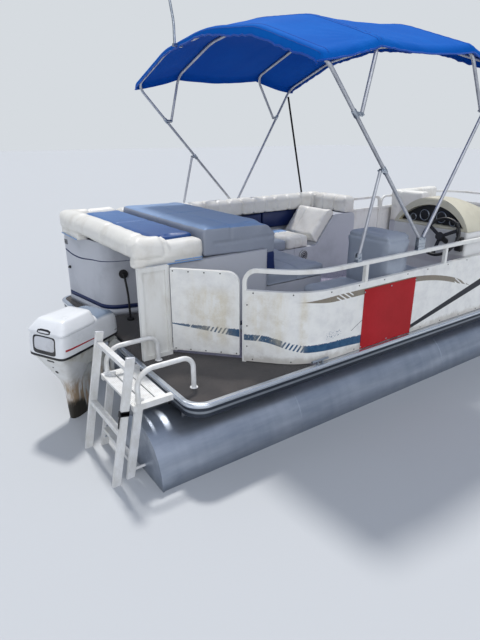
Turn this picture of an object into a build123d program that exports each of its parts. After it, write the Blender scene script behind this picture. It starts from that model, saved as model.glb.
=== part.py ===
from build123d import *
import os
from math import atan2, cos, degrees, hypot, radians, sin, sqrt, tan

# A two-tube pontoon boat afloat, in millimetres.
# +X is the bow, +Y is port, +Z is up; the origin is amidships on the waterline.

os.makedirs("parts", exist_ok=True)

# Deck and floats
deck_length = 6100
deck_beam = 2590
deck_top = 500
deck_corner = 140
board_thickness = 19
float_diameter = 610
float_spread = 1920
float_axis_z = 30
float_overhang = 200
float_nose_start = 700
float_nose_length = 1050
float_rim = 10
cross_height = 75
cross_flange = 38
cross_wall = 5
cross_pitch = 440
trim_width = 34
trim_bead = 32
trim_skirt = 66

# Fence
fence_inset = 54
fence_top = 670
fence_mid = 505
fence_foot = 8
fence_tube = 30
skin_thickness = 3
fence_corner = 85
bow_corner = 420

# Stern gate, set on a diagonal beside the lounge
gate_hinge_x = 270
gate_hinge_out = 50
gate_latch_x = 640
gate_reach_out = 403
gate_post_gap = 10
stern_gate_gap = 18
gate_lift = 45

# Side gate and bow gate
side_gate_aft = 3880
side_gate_width = 680
bow_gate_width = 720

# Aft lounge
lounge_aft = 80
lounge_half = 465
lounge_height = 640
lounge_lid = 14
recess_half = 360
recess_depth = 560
roll_height = 150
roll_top = 850
roll_depth = 190
roll_forward = 600
pad_start = 610
pad_end = 1290
pad_top = 850
bench_front = 1880
bench_seat_height = 430
cushion = 110

# Port couch and chaise
couch_depth = 700
couch_end = 2330
couch_back_top = 830
chaise_end = 3230
end_roll = 170
speaker_drop = 90

# Starboard back-to-back seats
rear_seat_start = 1240
rear_seat_back = 1700
rear_back_thickness = 250
rear_seat_in = 70
rear_seat_width = 425
rear_back_top = 815
helm_seat_end = 2380

# Helm console
console_start = 2700
console_depth = 560
console_in = 80
console_width = 760
console_height = 720
console_dome = 250
wheel_diameter = 350
wheel_tube = 26

# Bow couches
bow_couch_start = 4720
bow_couch_depth = 560
bow_couch_nose = 300

# Ladder at the starboard stern
ladder_in = 245
ladder_out = 731
ladder_aft = 300
ladder_rail_width = 50
ladder_rail_thickness = 20
ladder_fixed_bottom = 600
ladder_fold_top = 300
ladder_fold_bottom = 630
hoop_tube = 32
hoop_aft = 222
platform_aft = 262
ladder_lean = 11
ladder_gap = 50

# Canopy frame
bow_tube = 25
mount_x = 2040
mount_lift = 90
canopy_inset = 60
canopy_thickness = 10
canopy_skirt = 32
shoulder_half = 620
shoulder_rise = 215
crown_rise = 285
knee_radius = 120
shoulder_radius = 800
crown_radius = 1500
strut_tube = 22
strap_width = 25
strap_thickness = 3
light_pole_tube = 20
light_pole_height = 620
light_pole_y = 400

# Outboard motor
tilt_x = 15
tilt_z = 30
tilt_pin = 30
kingpin_x = -135
steer_rest = 28
kingpin_diameter = 28
cowl_aft = -570
cowl_front = 30
cowl_half = 170
cowl_seam = 72
cowl_top = 312
shaft_length = 508
gearcase_drop = 178
gearcase_radius = 50
skeg_drop = 200
propeller_diameter = 330
blades = 3

clearance = 0.3

stern = -deck_length / 2
bow = deck_length / 2
half_beam = deck_beam / 2
deck_under = deck_top - board_thickness
cross_under = deck_under - cross_height
float_radius = float_diameter / 2
float_side = float_spread / 2
fence_line = half_beam - fence_inset
canopy_half = half_beam - canopy_inset
lounge_side = half_beam - lounge_half
gate_hinge_in = lounge_side - gate_hinge_out
gate_latch_in = gate_hinge_in - gate_reach_out


def sx(from_stern):
    # Distance forward of the stern edge to a place on X.
    return stern + from_stern


def iy(inboard):
    # Distance in from the starboard edge to a place on Y.
    return inboard - half_beam


def uz(above_deck):
    # Height above the deck to a place on Z.
    return deck_top + above_deck


def slab(x0, x1, y0, y1, z0, z1, corner=0, top=0, foot=0):
    # A block between limits, its upright corners and its top or foot edges rounded.
    block = Pos((x0 + x1) / 2, (y0 + y1) / 2, (z0 + z1) / 2) * Box(x1 - x0, y1 - y0, z1 - z0)
    if corner:
        block = fillet(block.edges().filter_by(Axis.Z), corner)
    if top:
        block = fillet(block.faces().sort_by(Axis.Z)[-1].edges(), top)
    if foot:
        block = fillet(block.faces().sort_by(Axis.Z)[0].edges(), foot)
    return block


def plan_solid(points, radii, z0, z1, top=0, foot=0):
    # A closed outline in plan with rounded corners, raised between two heights.
    outline = FilletPolyline(*points, radius=radii, close=True)
    block = extrude(Pos(0, 0, z0) * make_face(outline), amount=z1 - z0)
    if top:
        block = fillet(block.faces().sort_by(Axis.Z)[-1].edges(), top)
    if foot:
        block = fillet(block.faces().sort_by(Axis.Z)[0].edges(), foot)
    return block


def side_solid(points, radii, y0, y1, soft=0):
    # A closed outline in the X-Z plane with rounded corners, carried across from y0 to y1.
    outline = FilletPolyline(*[(x, y0, z) for x, z in points], radius=radii, close=True)
    block = extrude(make_face(outline), amount=y1 - y0, dir=(0, 1, 0))
    if soft:
        block = fillet(block.faces().sort_by(Axis.Y)[0].edges(), soft)
        block = fillet(block.faces().sort_by(Axis.Y)[-1].edges(), soft)
    return block


def cross_solid(points, radii, x0, x1, soft=0):
    # A closed outline in the Y-Z plane with rounded corners, carried along from x0 to x1.
    outline = FilletPolyline(*[(x0, y, z) for y, z in points], radius=radii, close=True)
    block = extrude(make_face(outline), amount=x1 - x0, dir=(1, 0, 0))
    if soft:
        block = fillet(block.faces().sort_by(Axis.X)[0].edges(), soft)
        block = fillet(block.faces().sort_by(Axis.X)[-1].edges(), soft)
    return block


def run(points, radii):
    # A line through points with rounded corners.
    if len(points) == 2:
        return Line(*points)
    return FilletPolyline(*points, radius=radii)


def carry(section, path, across=None):
    # A section carried along a path that it starts square to; across is the section's own X.
    start = Plane(origin=path @ 0, x_dir=across, z_dir=path % 0)
    return sweep(start * section, path=path)


def pipe(points, radii, diameter):
    # A round tube through points with rounded corners.
    return carry(Circle(diameter / 2), run(points, radii))


def strip(points, radii, width, z0, z1):
    # An upright band of one width that follows a line in plan.
    path = run([(x, y, 0) for x, y in points], radii)
    left = Plane(origin=path @ 0, x_dir=(0, 0, 1), z_dir=path % 0)
    section = left * Pos((z0 + z1) / 2, 0, 0) * Rectangle(z1 - z0, width)
    return sweep(section, path=path)


def rod_between(start, end, diameter):
    # A straight round bar from one point to another.
    path = Line(start, end)
    return carry(Circle(diameter / 2), path)


def ring_of(shapes):
    # One solid from pieces that meet.
    whole = shapes[0]
    for shape in shapes[1:]:
        whole = whole + shape
    return whole


parts = {}


def keep(name, *shapes):
    # Pieces that share a name stay separate solids of one file.
    parts[name] = shapes[0] if len(shapes) == 1 else Compound(children=list(shapes))


# Floats
def float_tube(side):
    tail = sx(-float_overhang)
    nose = bow - float_nose_start
    y = side * float_side
    body = Pos((tail + nose) / 2, y, float_axis_z) * Rot(0, 90, 0) * Cylinder(float_radius, nose - tail)
    rim = Pos(tail + float_rim / 2, y, float_axis_z) * Rot(0, 90, 0) * Cylinder(float_radius + 4, float_rim)
    # The nose cone keeps its upper line level while it narrows: share of the length, share of the radius.
    sections = []
    for along, share in ((0, 1.0), (0.35, 0.88), (0.65, 0.66), (0.87, 0.38), (1.0, 0.12)):
        radius = float_radius * share
        lift = (float_radius - radius) * 0.86
        place = Plane(origin=(nose + float_nose_length * along, y, float_axis_z + lift), z_dir=(1, 0, 0))
        sections.append(place * Circle(radius))
    cone = loft(sections, ruled=True)
    keel_half = 9
    keel_depth = 22
    keel = slab(tail + 120, nose, y - keel_half, y + keel_half,
                float_axis_z - float_radius - keel_depth, float_axis_z - float_radius + 12)
    return ring_of([body, rim, cone, keel])


def riser(side):
    # A hat channel that stands on the float and carries the cross members.
    y = side * float_side
    half = 95
    wall = 6
    lip = 40
    x0 = sx(60)
    x1 = bow - float_nose_start - 40
    legs_z = float_axis_z + sqrt(float_radius ** 2 - (half + lip) ** 2) - 6
    body = slab(x0, x1, y - half, y + half, legs_z, cross_under)
    body = body - slab(x0 - 1, x1 + 1, y - half + wall, y + half - wall, legs_z - 1, cross_under - wall)
    middle = float_axis_z
    tube = Pos((x0 + x1) / 2, y, middle) * Rot(0, 90, 0) * Cylinder(float_radius, x1 - x0 + 20)
    return body - tube


keep("pontoon_starboard", float_tube(-1))
keep("pontoon_port", float_tube(1))


keep("pontoon_risers", riser(-1), riser(1))


# Deck
def deck_outline(inset, z0, z1):
    half = half_beam - inset
    corner = deck_corner - inset
    points = [(stern + inset, -half), (bow - inset, -half), (bow - inset, half), (stern + inset, half)]
    return plan_solid(points, [corner] * 4, z0, z1)


notch_half = 215
notch_depth = 95
notch = slab(stern - 80, stern + notch_depth, -notch_half, notch_half, cross_under - 40, deck_top + 40)

cross_first = stern + 150
cross_count = int((deck_length - 300) // cross_pitch) + 1


def cross_member(index):
    # A C channel across the floats, its back to the stern.
    x = cross_first + cross_pitch * index
    half = half_beam - trim_width - 2
    web = slab(x, x + cross_wall, -half, half, cross_under, deck_under)
    low = slab(x, x + cross_flange, -half, half, cross_under, cross_under + cross_wall)
    high = slab(x, x + cross_flange, -half, half, deck_under - cross_wall, deck_under)
    return ring_of([web, low, high])


keep("cross_members", *[cross_member(index) for index in range(cross_count)])

board = deck_outline(trim_width, deck_under, deck_top) - notch
keep("deck_board", board)

# The trim is a half-round bead over a plain skirt that hides the ends of the cross members.
bead_z = deck_top - trim_bead + 6
bead = fillet(deck_outline(0, bead_z, deck_top + 6).faces().sort_by(Axis.Z)[-1].edges(), 12)
bead = fillet(bead.faces().sort_by(Axis.Z)[0].edges(), 12)
skirt = deck_outline(16, bead_z - trim_skirt, bead_z)
trim = bead + skirt
trim = trim - deck_outline(trim_width, bead_z - trim_skirt - 1, deck_top + 10)
keep("deck_edge_rail", trim - notch)

# Motor pod and transom
pod_half = 290
transom_thickness = 40
transom_front = stern + 28
transom_top = deck_top - 12
pod_points = [
    (transom_front - transom_thickness, cross_under),
    (transom_front - transom_thickness + 60, float_axis_z - 40),
    (stern + 620, float_axis_z + 20),
    (stern + 1150, cross_under),
]
pod = side_solid(pod_points, [4, 20, 120, 4], -pod_half, pod_half)
transom = slab(transom_front - transom_thickness, transom_front, -notch_half + 6, notch_half - 6,
               cross_under - 10, transom_top)
keep("motor_pod", pod + transom)


# Cleats
def cleat(x, side):
    y = side * (half_beam - trim_width / 2)
    base_z = deck_top + 6
    foot = slab(x - 35, x + 35, y - 12, y + 12, base_z, base_z + 6, corner=8)
    posts = [slab(x + at - 6, x + at + 6, y - 6, y + 6, base_z + 5, base_z + 30) for at in (-22, 22)]
    horn = Pos(x, y, base_z + 34) * Rot(0, 90, 0) * Cylinder(8, 150)
    return ring_of([foot, *posts, horn])


cleat_places = ((sx(1020), -1), (sx(1020), 1), (bow - 900, -1), (bow - 900, 1))
keep("deck_cleats", *[cleat(x, side) for x, side in cleat_places])

# Fence lines in plan
tube_half = fence_tube / 2
gate_span = hypot(gate_latch_x - gate_hinge_x, gate_hinge_in - gate_latch_in)
gate_turn = degrees(atan2(gate_latch_in - gate_hinge_in, gate_latch_x - gate_hinge_x))
gate_way = Vector(cos(radians(gate_turn)), sin(radians(gate_turn)), 0)
hinge_post = Vector(sx(gate_hinge_x), iy(gate_hinge_in), 0)
latch_post = Vector(sx(gate_latch_x), iy(gate_latch_in), 0)
corner_run = 820
side_gate_front = side_gate_aft + side_gate_width
bow_gate_half = bow_gate_width / 2
bow_line = bow - fence_inset
break_x = sx(3300)

turn_point = latch_post + gate_way * ((latch_post.Y + fence_line) / -gate_way.Y)
starboard_aft_plan = [(latch_post.X, latch_post.Y), (turn_point.X, -fence_line), (break_x, -fence_line)]
starboard_bow_plan = [(break_x + fence_tube, -fence_line), (bow_line, -fence_line), (bow_line, -bow_gate_half)]
port_aft_plan = [(sx(lounge_aft + 150), fence_line), (sx(side_gate_aft), fence_line)]
port_bow_plan = [(sx(side_gate_front), fence_line), (bow_line, fence_line), (bow_line, bow_gate_half)]

sweep_radius = 470
fence_runs = {
    "starboard_aft": (starboard_aft_plan, [sweep_radius]),
    "starboard_bow": (starboard_bow_plan, [bow_corner]),
    "port_aft": (port_aft_plan, []),
    "port_bow": (port_bow_plan, [bow_corner]),
}

top_z = uz(fence_top) - tube_half
mid_z = uz(fence_mid)
foot_z = uz(fence_foot) + tube_half


def plan_spots(plan, radii, pitch):
    # Even places along a plan line, with the way the line runs there.
    path = run([(x, y, 0) for x, y in plan], radii)
    count = max(2, round(path.length / pitch))
    return [(path @ (step / count), path % (step / count)) for step in range(1, count)]


def fence_frame(plan, radii):
    # A top rail that bends down into the end posts, a middle rail, a foot rail and short posts between them.
    first, last = plan[0], plan[-1]
    points = [(first[0], first[1], uz(0)), *[(x, y, top_z) for x, y in plan], (last[0], last[1], uz(0))]
    way = Vector(plan[1][0] - first[0], plan[1][1] - first[1], 0).normalized()
    square = RectangleRounded(fence_tube, fence_tube, 5)
    outer = carry(square, run(points, [fence_corner, *radii, fence_corner]), across=Vector(way.Y, -way.X, 0))
    pieces = [outer]
    for z in (mid_z, foot_z):
        pieces.append(strip(plan, radii, fence_tube, z - tube_half, z + tube_half))
    for place, way in plan_spots(plan, radii, 930):
        turn = degrees(atan2(way.Y, way.X))
        post = Pos(place.X, place.Y, (uz(0) + top_z) / 2) * Rot(0, 0, turn)
        pieces.append(post * Box(fence_tube - 2, fence_tube - 2, top_z - uz(0)))
    return ring_of(pieces)


frames = {name: fence_frame(plan, radii) for name, (plan, radii) in fence_runs.items()}


def fence_skin(plan, radii):
    # A sheet on the outer face of the frame, from the foot rail to the middle rail.
    path = run([(x, y, 0) for x, y in plan], radii)
    outward = -(fence_tube / 2 + skin_thickness / 2)
    way = path % 0
    side = Vector(way.Y, -way.X, 0)
    if (path @ 0).Y > 0 and (path @ 0).X < bow_line - 1:
        side = side * -1
    start = path @ 0 + side * (-outward)
    section = Plane(origin=start, x_dir=(0, 0, 1), z_dir=way)
    z0 = uz(fence_foot)
    z1 = mid_z + tube_half
    sheet = section * Pos((z0 + z1) / 2, 0, 0) * Rectangle(z1 - z0, skin_thickness)
    return sweep(sheet, path=path)


skins = {name: fence_skin(plan, radii) for name, (plan, radii) in fence_runs.items()}
keep("fence_skins", *skins.values())


# Gates and the narrow panel at the stern corner
def panel(start, end, z0, z1, corner_ends=(0, 0), bar=0):
    # A framed panel between two places in plan, with a sheet inside the frame, or only up to a bar.
    way = end - start
    length = way.length
    turn = degrees(atan2(way.Y, way.X))
    height = z1 - z0
    outline = Pos(length / 2, height / 2) * Rectangle(length, height)
    tops = outline.vertices().sort_by(Axis.Y)[-2:]
    for vertex, radius in zip(sorted(tops, key=lambda v: v.X), corner_ends):
        if radius:
            near = min(outline.vertices(), key=lambda v: (v.center() - vertex.center()).length)
            outline = fillet(near, radius)
    inner = offset(outline.face(), -fence_tube, kind=Kind.ARC)
    frame = extrude(outline.face() - inner, amount=fence_tube / 2, both=True)
    if bar:
        rail = Pos(length / 2, bar - z0) * Rectangle(length - fence_tube, fence_tube)
        frame = frame + extrude(rail, amount=fence_tube / 2, both=True)
        inner = inner & (Pos(length / 2, (bar - z0) / 2) * Rectangle(length, bar - z0))
    sheet = extrude(inner, amount=skin_thickness / 2, both=True)
    whole = frame + sheet
    return Pos(start.X, start.Y, z0) * Rot(0, 0, turn) * Rot(90, 0, 0) * whole


gate_bottom = uz(gate_lift)
hinge_pin = 5
hinge_plate = 6
hinge_reach = 22


def hinge_foot(post, way, gap=gate_post_gap):
    # A plate that stands out of a post under the gate's stile, with the pin that the gate turns on.
    turn = degrees(atan2(way.Y, way.X))
    centre = tube_half + gap + tube_half
    top = gate_bottom - clearance
    plate = Pos(post.X, post.Y, top - hinge_plate / 2) * Rot(0, 0, turn) * Pos(centre / 2, 0, 0)
    axis = post + way * centre
    pin = Pos(axis.X, axis.Y, top + hinge_reach / 2 - 1) * Cylinder(hinge_pin, hinge_reach + 2)
    return plate * Box(centre + 24, fence_tube - 4, hinge_plate) + pin


def hung(gate, post, way, gap=gate_post_gap):
    # The gate with the bore that its pin fills.
    axis = post + way * (2 * tube_half + gap)
    return gate - Pos(axis.X, axis.Y, gate_bottom) * Cylinder(hinge_pin + clearance, 2 * (hinge_reach + 2))


gate_start = hinge_post + gate_way * (tube_half + stern_gate_gap)
gate_end = latch_post - gate_way * (tube_half + stern_gate_gap)
gate_end_top = 640
stern_gate = panel(gate_start, gate_end, gate_bottom, uz(gate_end_top), (0, fence_corner))
keep("stern_gate", hung(stern_gate, hinge_post, gate_way, stern_gate_gap))

side_start = Vector(sx(side_gate_aft) + tube_half + gate_post_gap, fence_line, 0)
side_end = Vector(sx(side_gate_front) - tube_half - gate_post_gap, fence_line, 0)
port_gate = panel(side_start, side_end, gate_bottom, uz(fence_top), (fence_corner, fence_corner), mid_z)
side_post = Vector(sx(side_gate_front), fence_line, 0)
keep("port_gate", hung(port_gate, side_post, Vector(-1, 0, 0)))

bow_start = Vector(bow_line, -bow_gate_half + tube_half + gate_post_gap, 0)
bow_end = Vector(bow_line, bow_gate_half - tube_half - gate_post_gap, 0)
bow_gate = panel(bow_start, bow_end, gate_bottom, uz(fence_top), (fence_corner, fence_corner), mid_z)
bow_post = Vector(bow_line, -bow_gate_half, 0)
keep("bow_gate", hung(bow_gate, bow_post, Vector(0, 1, 0)))

corner_start = Vector(sx(56), iy(gate_hinge_in), 0)
corner_end = hinge_post + Vector(tube_half, 0, 0)
corner_panel = panel(corner_start, corner_end, uz(0), uz(fence_top - 10))
keep("stern_corner_panel", corner_panel + hinge_foot(hinge_post, gate_way, stern_gate_gap))
frames["port_bow"] = frames["port_bow"] + hinge_foot(side_post, Vector(-1, 0, 0))
frames["starboard_bow"] = frames["starboard_bow"] + hinge_foot(bow_post, Vector(0, 1, 0))
for name, frame in frames.items():
    keep("fence_frame_" + name, frame)


# Aft lounge base, with the motor recess in its aft wall
base_front = sx(pad_end - 94)
base_side = iy(lounge_side)
base_port = fence_line - tube_half - 12
aft_x = sx(lounge_aft)
recess_x = aft_x + recess_depth
base_points = [
    (aft_x, base_side),
    (base_front, base_side),
    (base_front, base_port),
    (aft_x, base_port),
    (aft_x + 110, recess_half + 130),
    (recess_x, recess_half),
    (recess_x, -recess_half),
    (aft_x + 60, -recess_half - 20),
]
base_radii = [30, 30, 30, 60, 170, 90, 90, 30]
lid_z = uz(lounge_height - lounge_lid)
lounge_base = plan_solid(base_points, base_radii, uz(0), uz(lounge_height))
lounge_base = lounge_base + slab(aft_x + 165, recess_x + 60, -recess_half - 40, recess_half + 150, lid_z,
                                 uz(lounge_height))
keep("lounge_base", lounge_base)


# Roll bolster round the aft edge, its two end blocks reaching lower
roll_low = uz(roll_top - roll_height)
block_low = uz(lounge_height) + clearance
roll_out = 22


def aft_roll():
    outer_port = base_port
    outer_side = base_side - roll_out
    x0 = aft_x - roll_out
    inner = x0 + roll_depth
    front = sx(roll_forward)
    points = [
        (x0, outer_side), (front, outer_side), (front, outer_side + roll_depth * 0.75),
        (inner, outer_side + roll_depth * 0.75), (inner, outer_port - roll_depth * 0.75),
        (front, outer_port - roll_depth * 0.75), (front, outer_port), (x0, outer_port),
    ]
    whole = plan_solid(points, [70, 30, 30, 40, 40, 30, 30, 90], roll_low, uz(roll_top), top=45)
    foot_points = [(x0 + 6, outer_side + 6), (front - 6, outer_side + 6), (front - 6, outer_side + 120),
                   (x0 + 6, outer_side + 120)]
    starboard_foot = plan_solid(foot_points, [64, 24, 24, 24], block_low, roll_low + 40)
    port_foot = plan_solid(
        [(x0 + 6, outer_port - 520), (x0 + 110, outer_port - 520), (x0 + 110, outer_port - 140),
         (front - 6, outer_port - 140), (front - 6, outer_port - 6), (x0 + 6, outer_port - 6)],
        [24, 24, 24, 24, 24, 84], block_low, roll_low + 40)
    return ring_of([whole, starboard_foot, port_foot])


roll = aft_roll()
keep("aft_roll", roll)

# Blue band and sun pad inside the roll
inner_side = base_side - roll_out + roll_depth * 0.75 + 4
inner_port = base_port - roll_depth * 0.75 - 4
band_x = aft_x - roll_out + roll_depth + 4
band = slab(band_x, sx(pad_start) - 4, inner_side, inner_port, block_low, uz(pad_top - 34), corner=40, top=16)
keep("pad_band", band)
sun_pad = side_solid(
    [(sx(pad_start), block_low), (sx(pad_start), uz(pad_top)), (sx(pad_end - 90), uz(pad_top)),
     (sx(pad_end), uz(pad_top - 90)), (sx(pad_end), uz(bench_seat_height + 10)),
     (base_front + clearance, uz(bench_seat_height + 10)), (base_front + clearance, block_low)],
    [10, 30, 90, 60, 20, 20, 0], base_side + 8, base_port - 180)
keep("sun_pad", sun_pad)

# Bench in front of the sun pad
seat_low = bench_seat_height - cushion
couch_in = base_port - couch_depth
bench_side = iy(lounge_side + 30)
bench_x = base_front + clearance
keep("bench_base", slab(bench_x, sx(bench_front - 50), bench_side + 10, couch_in - 4, uz(0), uz(seat_low), corner=12))
bench_seat = slab(bench_x, sx(bench_front), bench_side, couch_in - 4, uz(seat_low) + clearance,
                  uz(bench_seat_height), corner=50, top=35)

# Port couch: base, navy panel, seats and roll backs
panel_y = base_port - 60
couch_base = slab(bench_x, sx(couch_end), couch_in, base_port, uz(0), uz(seat_low), corner=10)
couch_back = slab(bench_x, sx(couch_end), panel_y, base_port, uz(seat_low) - 10, uz(lounge_height), corner=10)
keep("port_couch_base", couch_base + couch_back)
seat_x0 = sx(pad_end) + 4
seat_break = sx(1800)
seat_x1 = sx(couch_end) - 106
couch_seats = [
    slab(x0, x1, couch_in, panel_y - 72, uz(seat_low) + clearance, uz(bench_seat_height), corner=30, top=30)
    for x0, x1 in ((seat_x0, seat_break - 3), (seat_break + 3, seat_x1))
]
keep("couch_seats", bench_seat, *couch_seats)
keep("port_couch_panel", slab(bench_x + 6, sx(couch_end), panel_y - 70, panel_y - clearance,
                              uz(bench_seat_height) + clearance, uz(lounge_height), corner=12))
back_breaks = (roll_forward + 6, 1230, 1860, 2490, chaise_end)
couch_rolls = [
    slab(sx(x0), sx(x1) - 6, base_port - 170, base_port, block_low, uz(couch_back_top), corner=25, top=50)
    for x0, x1 in zip(back_breaks, back_breaks[1:])
]
couch_rolls.append(slab(sx(chaise_end - end_roll), sx(chaise_end), couch_in, base_port - 176, block_low,
                        uz(couch_back_top), corner=25, top=50))
keep("port_couch_rolls", *couch_rolls)

# Chaise at the forward end of the port couch
chaise_seat_top = 450
chaise_points = [
    (sx(couch_end) + clearance, uz(0)), (sx(couch_end) + clearance, uz(seat_low)), (sx(2640), uz(seat_low)),
    (sx(2900), uz(lounge_height)), (sx(chaise_end), uz(lounge_height)), (sx(chaise_end), uz(0)),
]
keep("chaise_base", side_solid(chaise_points, [10, 10, 20, 40, 60, 10], couch_in, base_port))
keep("chaise_seat", slab(seat_x1 + 6, sx(2530), couch_in - 6, base_port - 180, uz(seat_low) + clearance,
                         uz(chaise_seat_top), corner=30, top=35))
recline = atan2(lounge_height - seat_low, 2900 - 2640)
pad_out = 100
foot_point = (sx(2640), uz(seat_low))
lean = [(26, 0), (26, pad_out), (440, pad_out), (440, 0)]
shift = clearance
chaise_back_points = [
    (foot_point[0] + along * cos(recline) - (out + shift) * sin(recline),
     foot_point[1] + along * sin(recline) + (out + shift) * cos(recline)) for along, out in lean
]
keep("chaise_back", side_solid(chaise_back_points, [20, 45, 45, 20], couch_in - 2, base_port - 180))
speaker_x = sx(2460)
speaker_z = uz(seat_low - speaker_drop)
keep("speaker", Pos(speaker_x, couch_in - 5, speaker_z) * Rot(90, 0, 0) * Cylinder(62, 10))

# Back-to-back seats on the starboard side
rear_y0 = iy(rear_seat_in)
rear_y1 = iy(rear_seat_in + rear_seat_width)
back_x0 = sx(rear_seat_back)
back_x1 = back_x0 + rear_back_thickness
keep("helm_seat_base", slab(sx(rear_seat_start + 30), sx(helm_seat_end - 30), rear_y0 + 12, rear_y1 - 12,
                            uz(0), uz(seat_low), corner=15))
keep("helm_seat_back", cross_solid(
    [(rear_y0, uz(seat_low) + clearance), (rear_y1, uz(seat_low) + clearance), (rear_y1, uz(rear_back_top)),
     (rear_y0, uz(rear_back_top))], [20, 20, 70, 70], back_x0, back_x1, soft=18))
rear_seat_cushion = slab(sx(rear_seat_start), back_x0 - 3, rear_y0 + 4, rear_y1 - 4, uz(seat_low) + clearance,
                         uz(bench_seat_height), corner=45, top=30)
helm_seat_cushion = slab(back_x1 + 3, sx(helm_seat_end), rear_y0 + 4, rear_y1 - 4, uz(seat_low) + clearance,
                         uz(bench_seat_height + 10), corner=45, top=30)
keep("helm_seat_cushions", rear_seat_cushion, helm_seat_cushion)

# Helm console: body, hood, dash and wheel
console_x0 = sx(console_start)
console_x1 = sx(console_start + console_depth)
console_y0 = iy(console_in)
console_y1 = iy(console_in + console_width)
console_mid = (console_y0 + console_y1) / 2
body_points = [
    (console_x0 + 60, uz(0)), (console_x0 + 60, uz(400)), (console_x0, uz(520)), (console_x0, uz(console_height)),
    (console_x1, uz(console_height)), (console_x1 - 20, uz(0)),
]
keep("console_body", side_solid(body_points, [10, 60, 40, 10, 10, 10], console_y0, console_y1, soft=22))
hood_z = uz(console_height) + clearance
hood_face = make_face([
    Line((console_x0, console_y0 + 4, hood_z), (console_x0, console_y1 - 4, hood_z)),
    ThreePointArc((console_x0, console_y1 - 4, hood_z), (console_x0, console_mid, hood_z + console_dome),
                  (console_x0, console_y0 + 4, hood_z)),
])
hood = extrude(hood_face, amount=console_depth - 20, dir=(1, 0, 0))
hood_side = side_solid(
    [(console_x0, hood_z), (console_x0 + 30, hood_z + console_dome), (console_x0 + 190, hood_z + console_dome),
     (console_x1 - 20, hood_z + 60), (console_x1 - 20, hood_z)], [5, 30, 150, 30, 5], console_y0, console_y1)
dash_x = console_x0 + 60
recess = make_face([
    Line((console_x0 - 5, console_y0 + 50, hood_z + 22), (console_x0 - 5, console_y1 - 50, hood_z + 22)),
    ThreePointArc((console_x0 - 5, console_y1 - 50, hood_z + 22), (console_x0 - 5, console_mid, hood_z + 185),
                  (console_x0 - 5, console_y0 + 50, hood_z + 22)),
])
keep("console_hood", (hood & hood_side) - extrude(recess, amount=65, dir=(1, 0, 0)))
dash_face = make_face([
    Line((dash_x - 12, console_y0 + 58, hood_z + 24), (dash_x - 12, console_y1 - 58, hood_z + 24)),
    ThreePointArc((dash_x - 12, console_y1 - 58, hood_z + 24), (dash_x - 12, console_mid, hood_z + 178),
                  (dash_x - 12, console_y0 + 58, hood_z + 24)),
])
keep("dash_panel", extrude(dash_face, amount=12 - clearance, dir=(1, 0, 0)))

wheel_lean = 28
wheel_y = iy(270)
hub = Vector(console_x0 - 95, wheel_y, uz(670))
wheel_place = Plane(origin=hub, x_dir=(0, 1, 0), z_dir=(-cos(radians(wheel_lean)), 0, sin(radians(wheel_lean))))
rim = Torus((wheel_diameter - wheel_tube) / 2, wheel_tube / 2)
spokes = [Rot(0, 0, turn) * Pos(wheel_diameter / 4, 0, 0) * Box(wheel_diameter / 2 - 12, 28, 9) for turn in (-30, 90, 210)]
boss = Cylinder(34, 40)
keep("steering_wheel", wheel_place * ring_of([rim, boss, *spokes]))
column_end = 96 / cos(radians(wheel_lean))
column = wheel_place * Pos(0, 0, -20 - clearance - column_end / 2) * Cylinder(22, column_end)
keep("steering_column", column - parts["console_body"])

# Bow couches
bow_side = fence_line - tube_half - 12


def bow_block(side, depth_out, depth_in, x0, x1, z0, z1, nose, top=0):
    points = [(x0, side * depth_out), (x1, side * depth_out), (x1, side * depth_in), (x0, side * depth_in)]
    radii = [20, nose, 60, 20]
    if side > 0:
        points = points[::-1]
        radii = radii[::-1]
    return plan_solid(points, radii, z0, z1, top=top)


couch_x0 = sx(bow_couch_start)
couch_x1 = bow - bow_couch_nose
bow_in = bow_side - bow_couch_depth
keep("bow_couch_bases", *[bow_block(s, bow_side, bow_in + 30, couch_x0 + 20, couch_x1 - 20, uz(0), uz(seat_low), 300)
                          for s in (-1, 1)])
keep("bow_couch_seats", *[bow_block(s, bow_side - 176, bow_in, couch_x0 + 180, couch_x1, uz(seat_low) + clearance,
                                    uz(bench_seat_height), 200, top=30) for s in (-1, 1)])
bow_backs = [bow_block(s, bow_side, bow_side - 170, couch_x0, couch_x1 - 200, uz(seat_low) + clearance,
                       uz(760), 80, top=40) for s in (-1, 1)]
bow_ends = [bow_block(s, bow_side - 174, bow_in + 20, couch_x0, couch_x0 + 172, uz(seat_low) + clearance,
                      uz(760), 60, top=40) for s in (-1, 1)]
keep("bow_couch_backs", *bow_backs, *bow_ends)

# Boarding ladder: platform, fixed rails, hoops and the folding section
plate_z = uz(6)
rail_half = ladder_rail_thickness / 2
rail_x1 = sx(-ladder_aft) + ladder_rail_width
ladder_y0 = iy(ladder_in)
ladder_y1 = iy(ladder_out)
fixed_y0 = ladder_y0 + ladder_rail_thickness + 5
fixed_y1 = ladder_y1 - ladder_rail_thickness - 5
pivot_x = sx(-ladder_aft - ladder_gap - ladder_rail_width / 2)
pivot_z = uz(-ladder_fixed_bottom + 30)
lean_x = rail_x1 - ladder_rail_width / 2
lean_z = uz(-360)


def leaned(shape):
    # The rails lean forward at the top about a level pin through the fixed rails.
    return Pos(lean_x, 0, lean_z) * Rot(0, ladder_lean, 0) * Pos(-lean_x, 0, -lean_z) * shape


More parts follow.
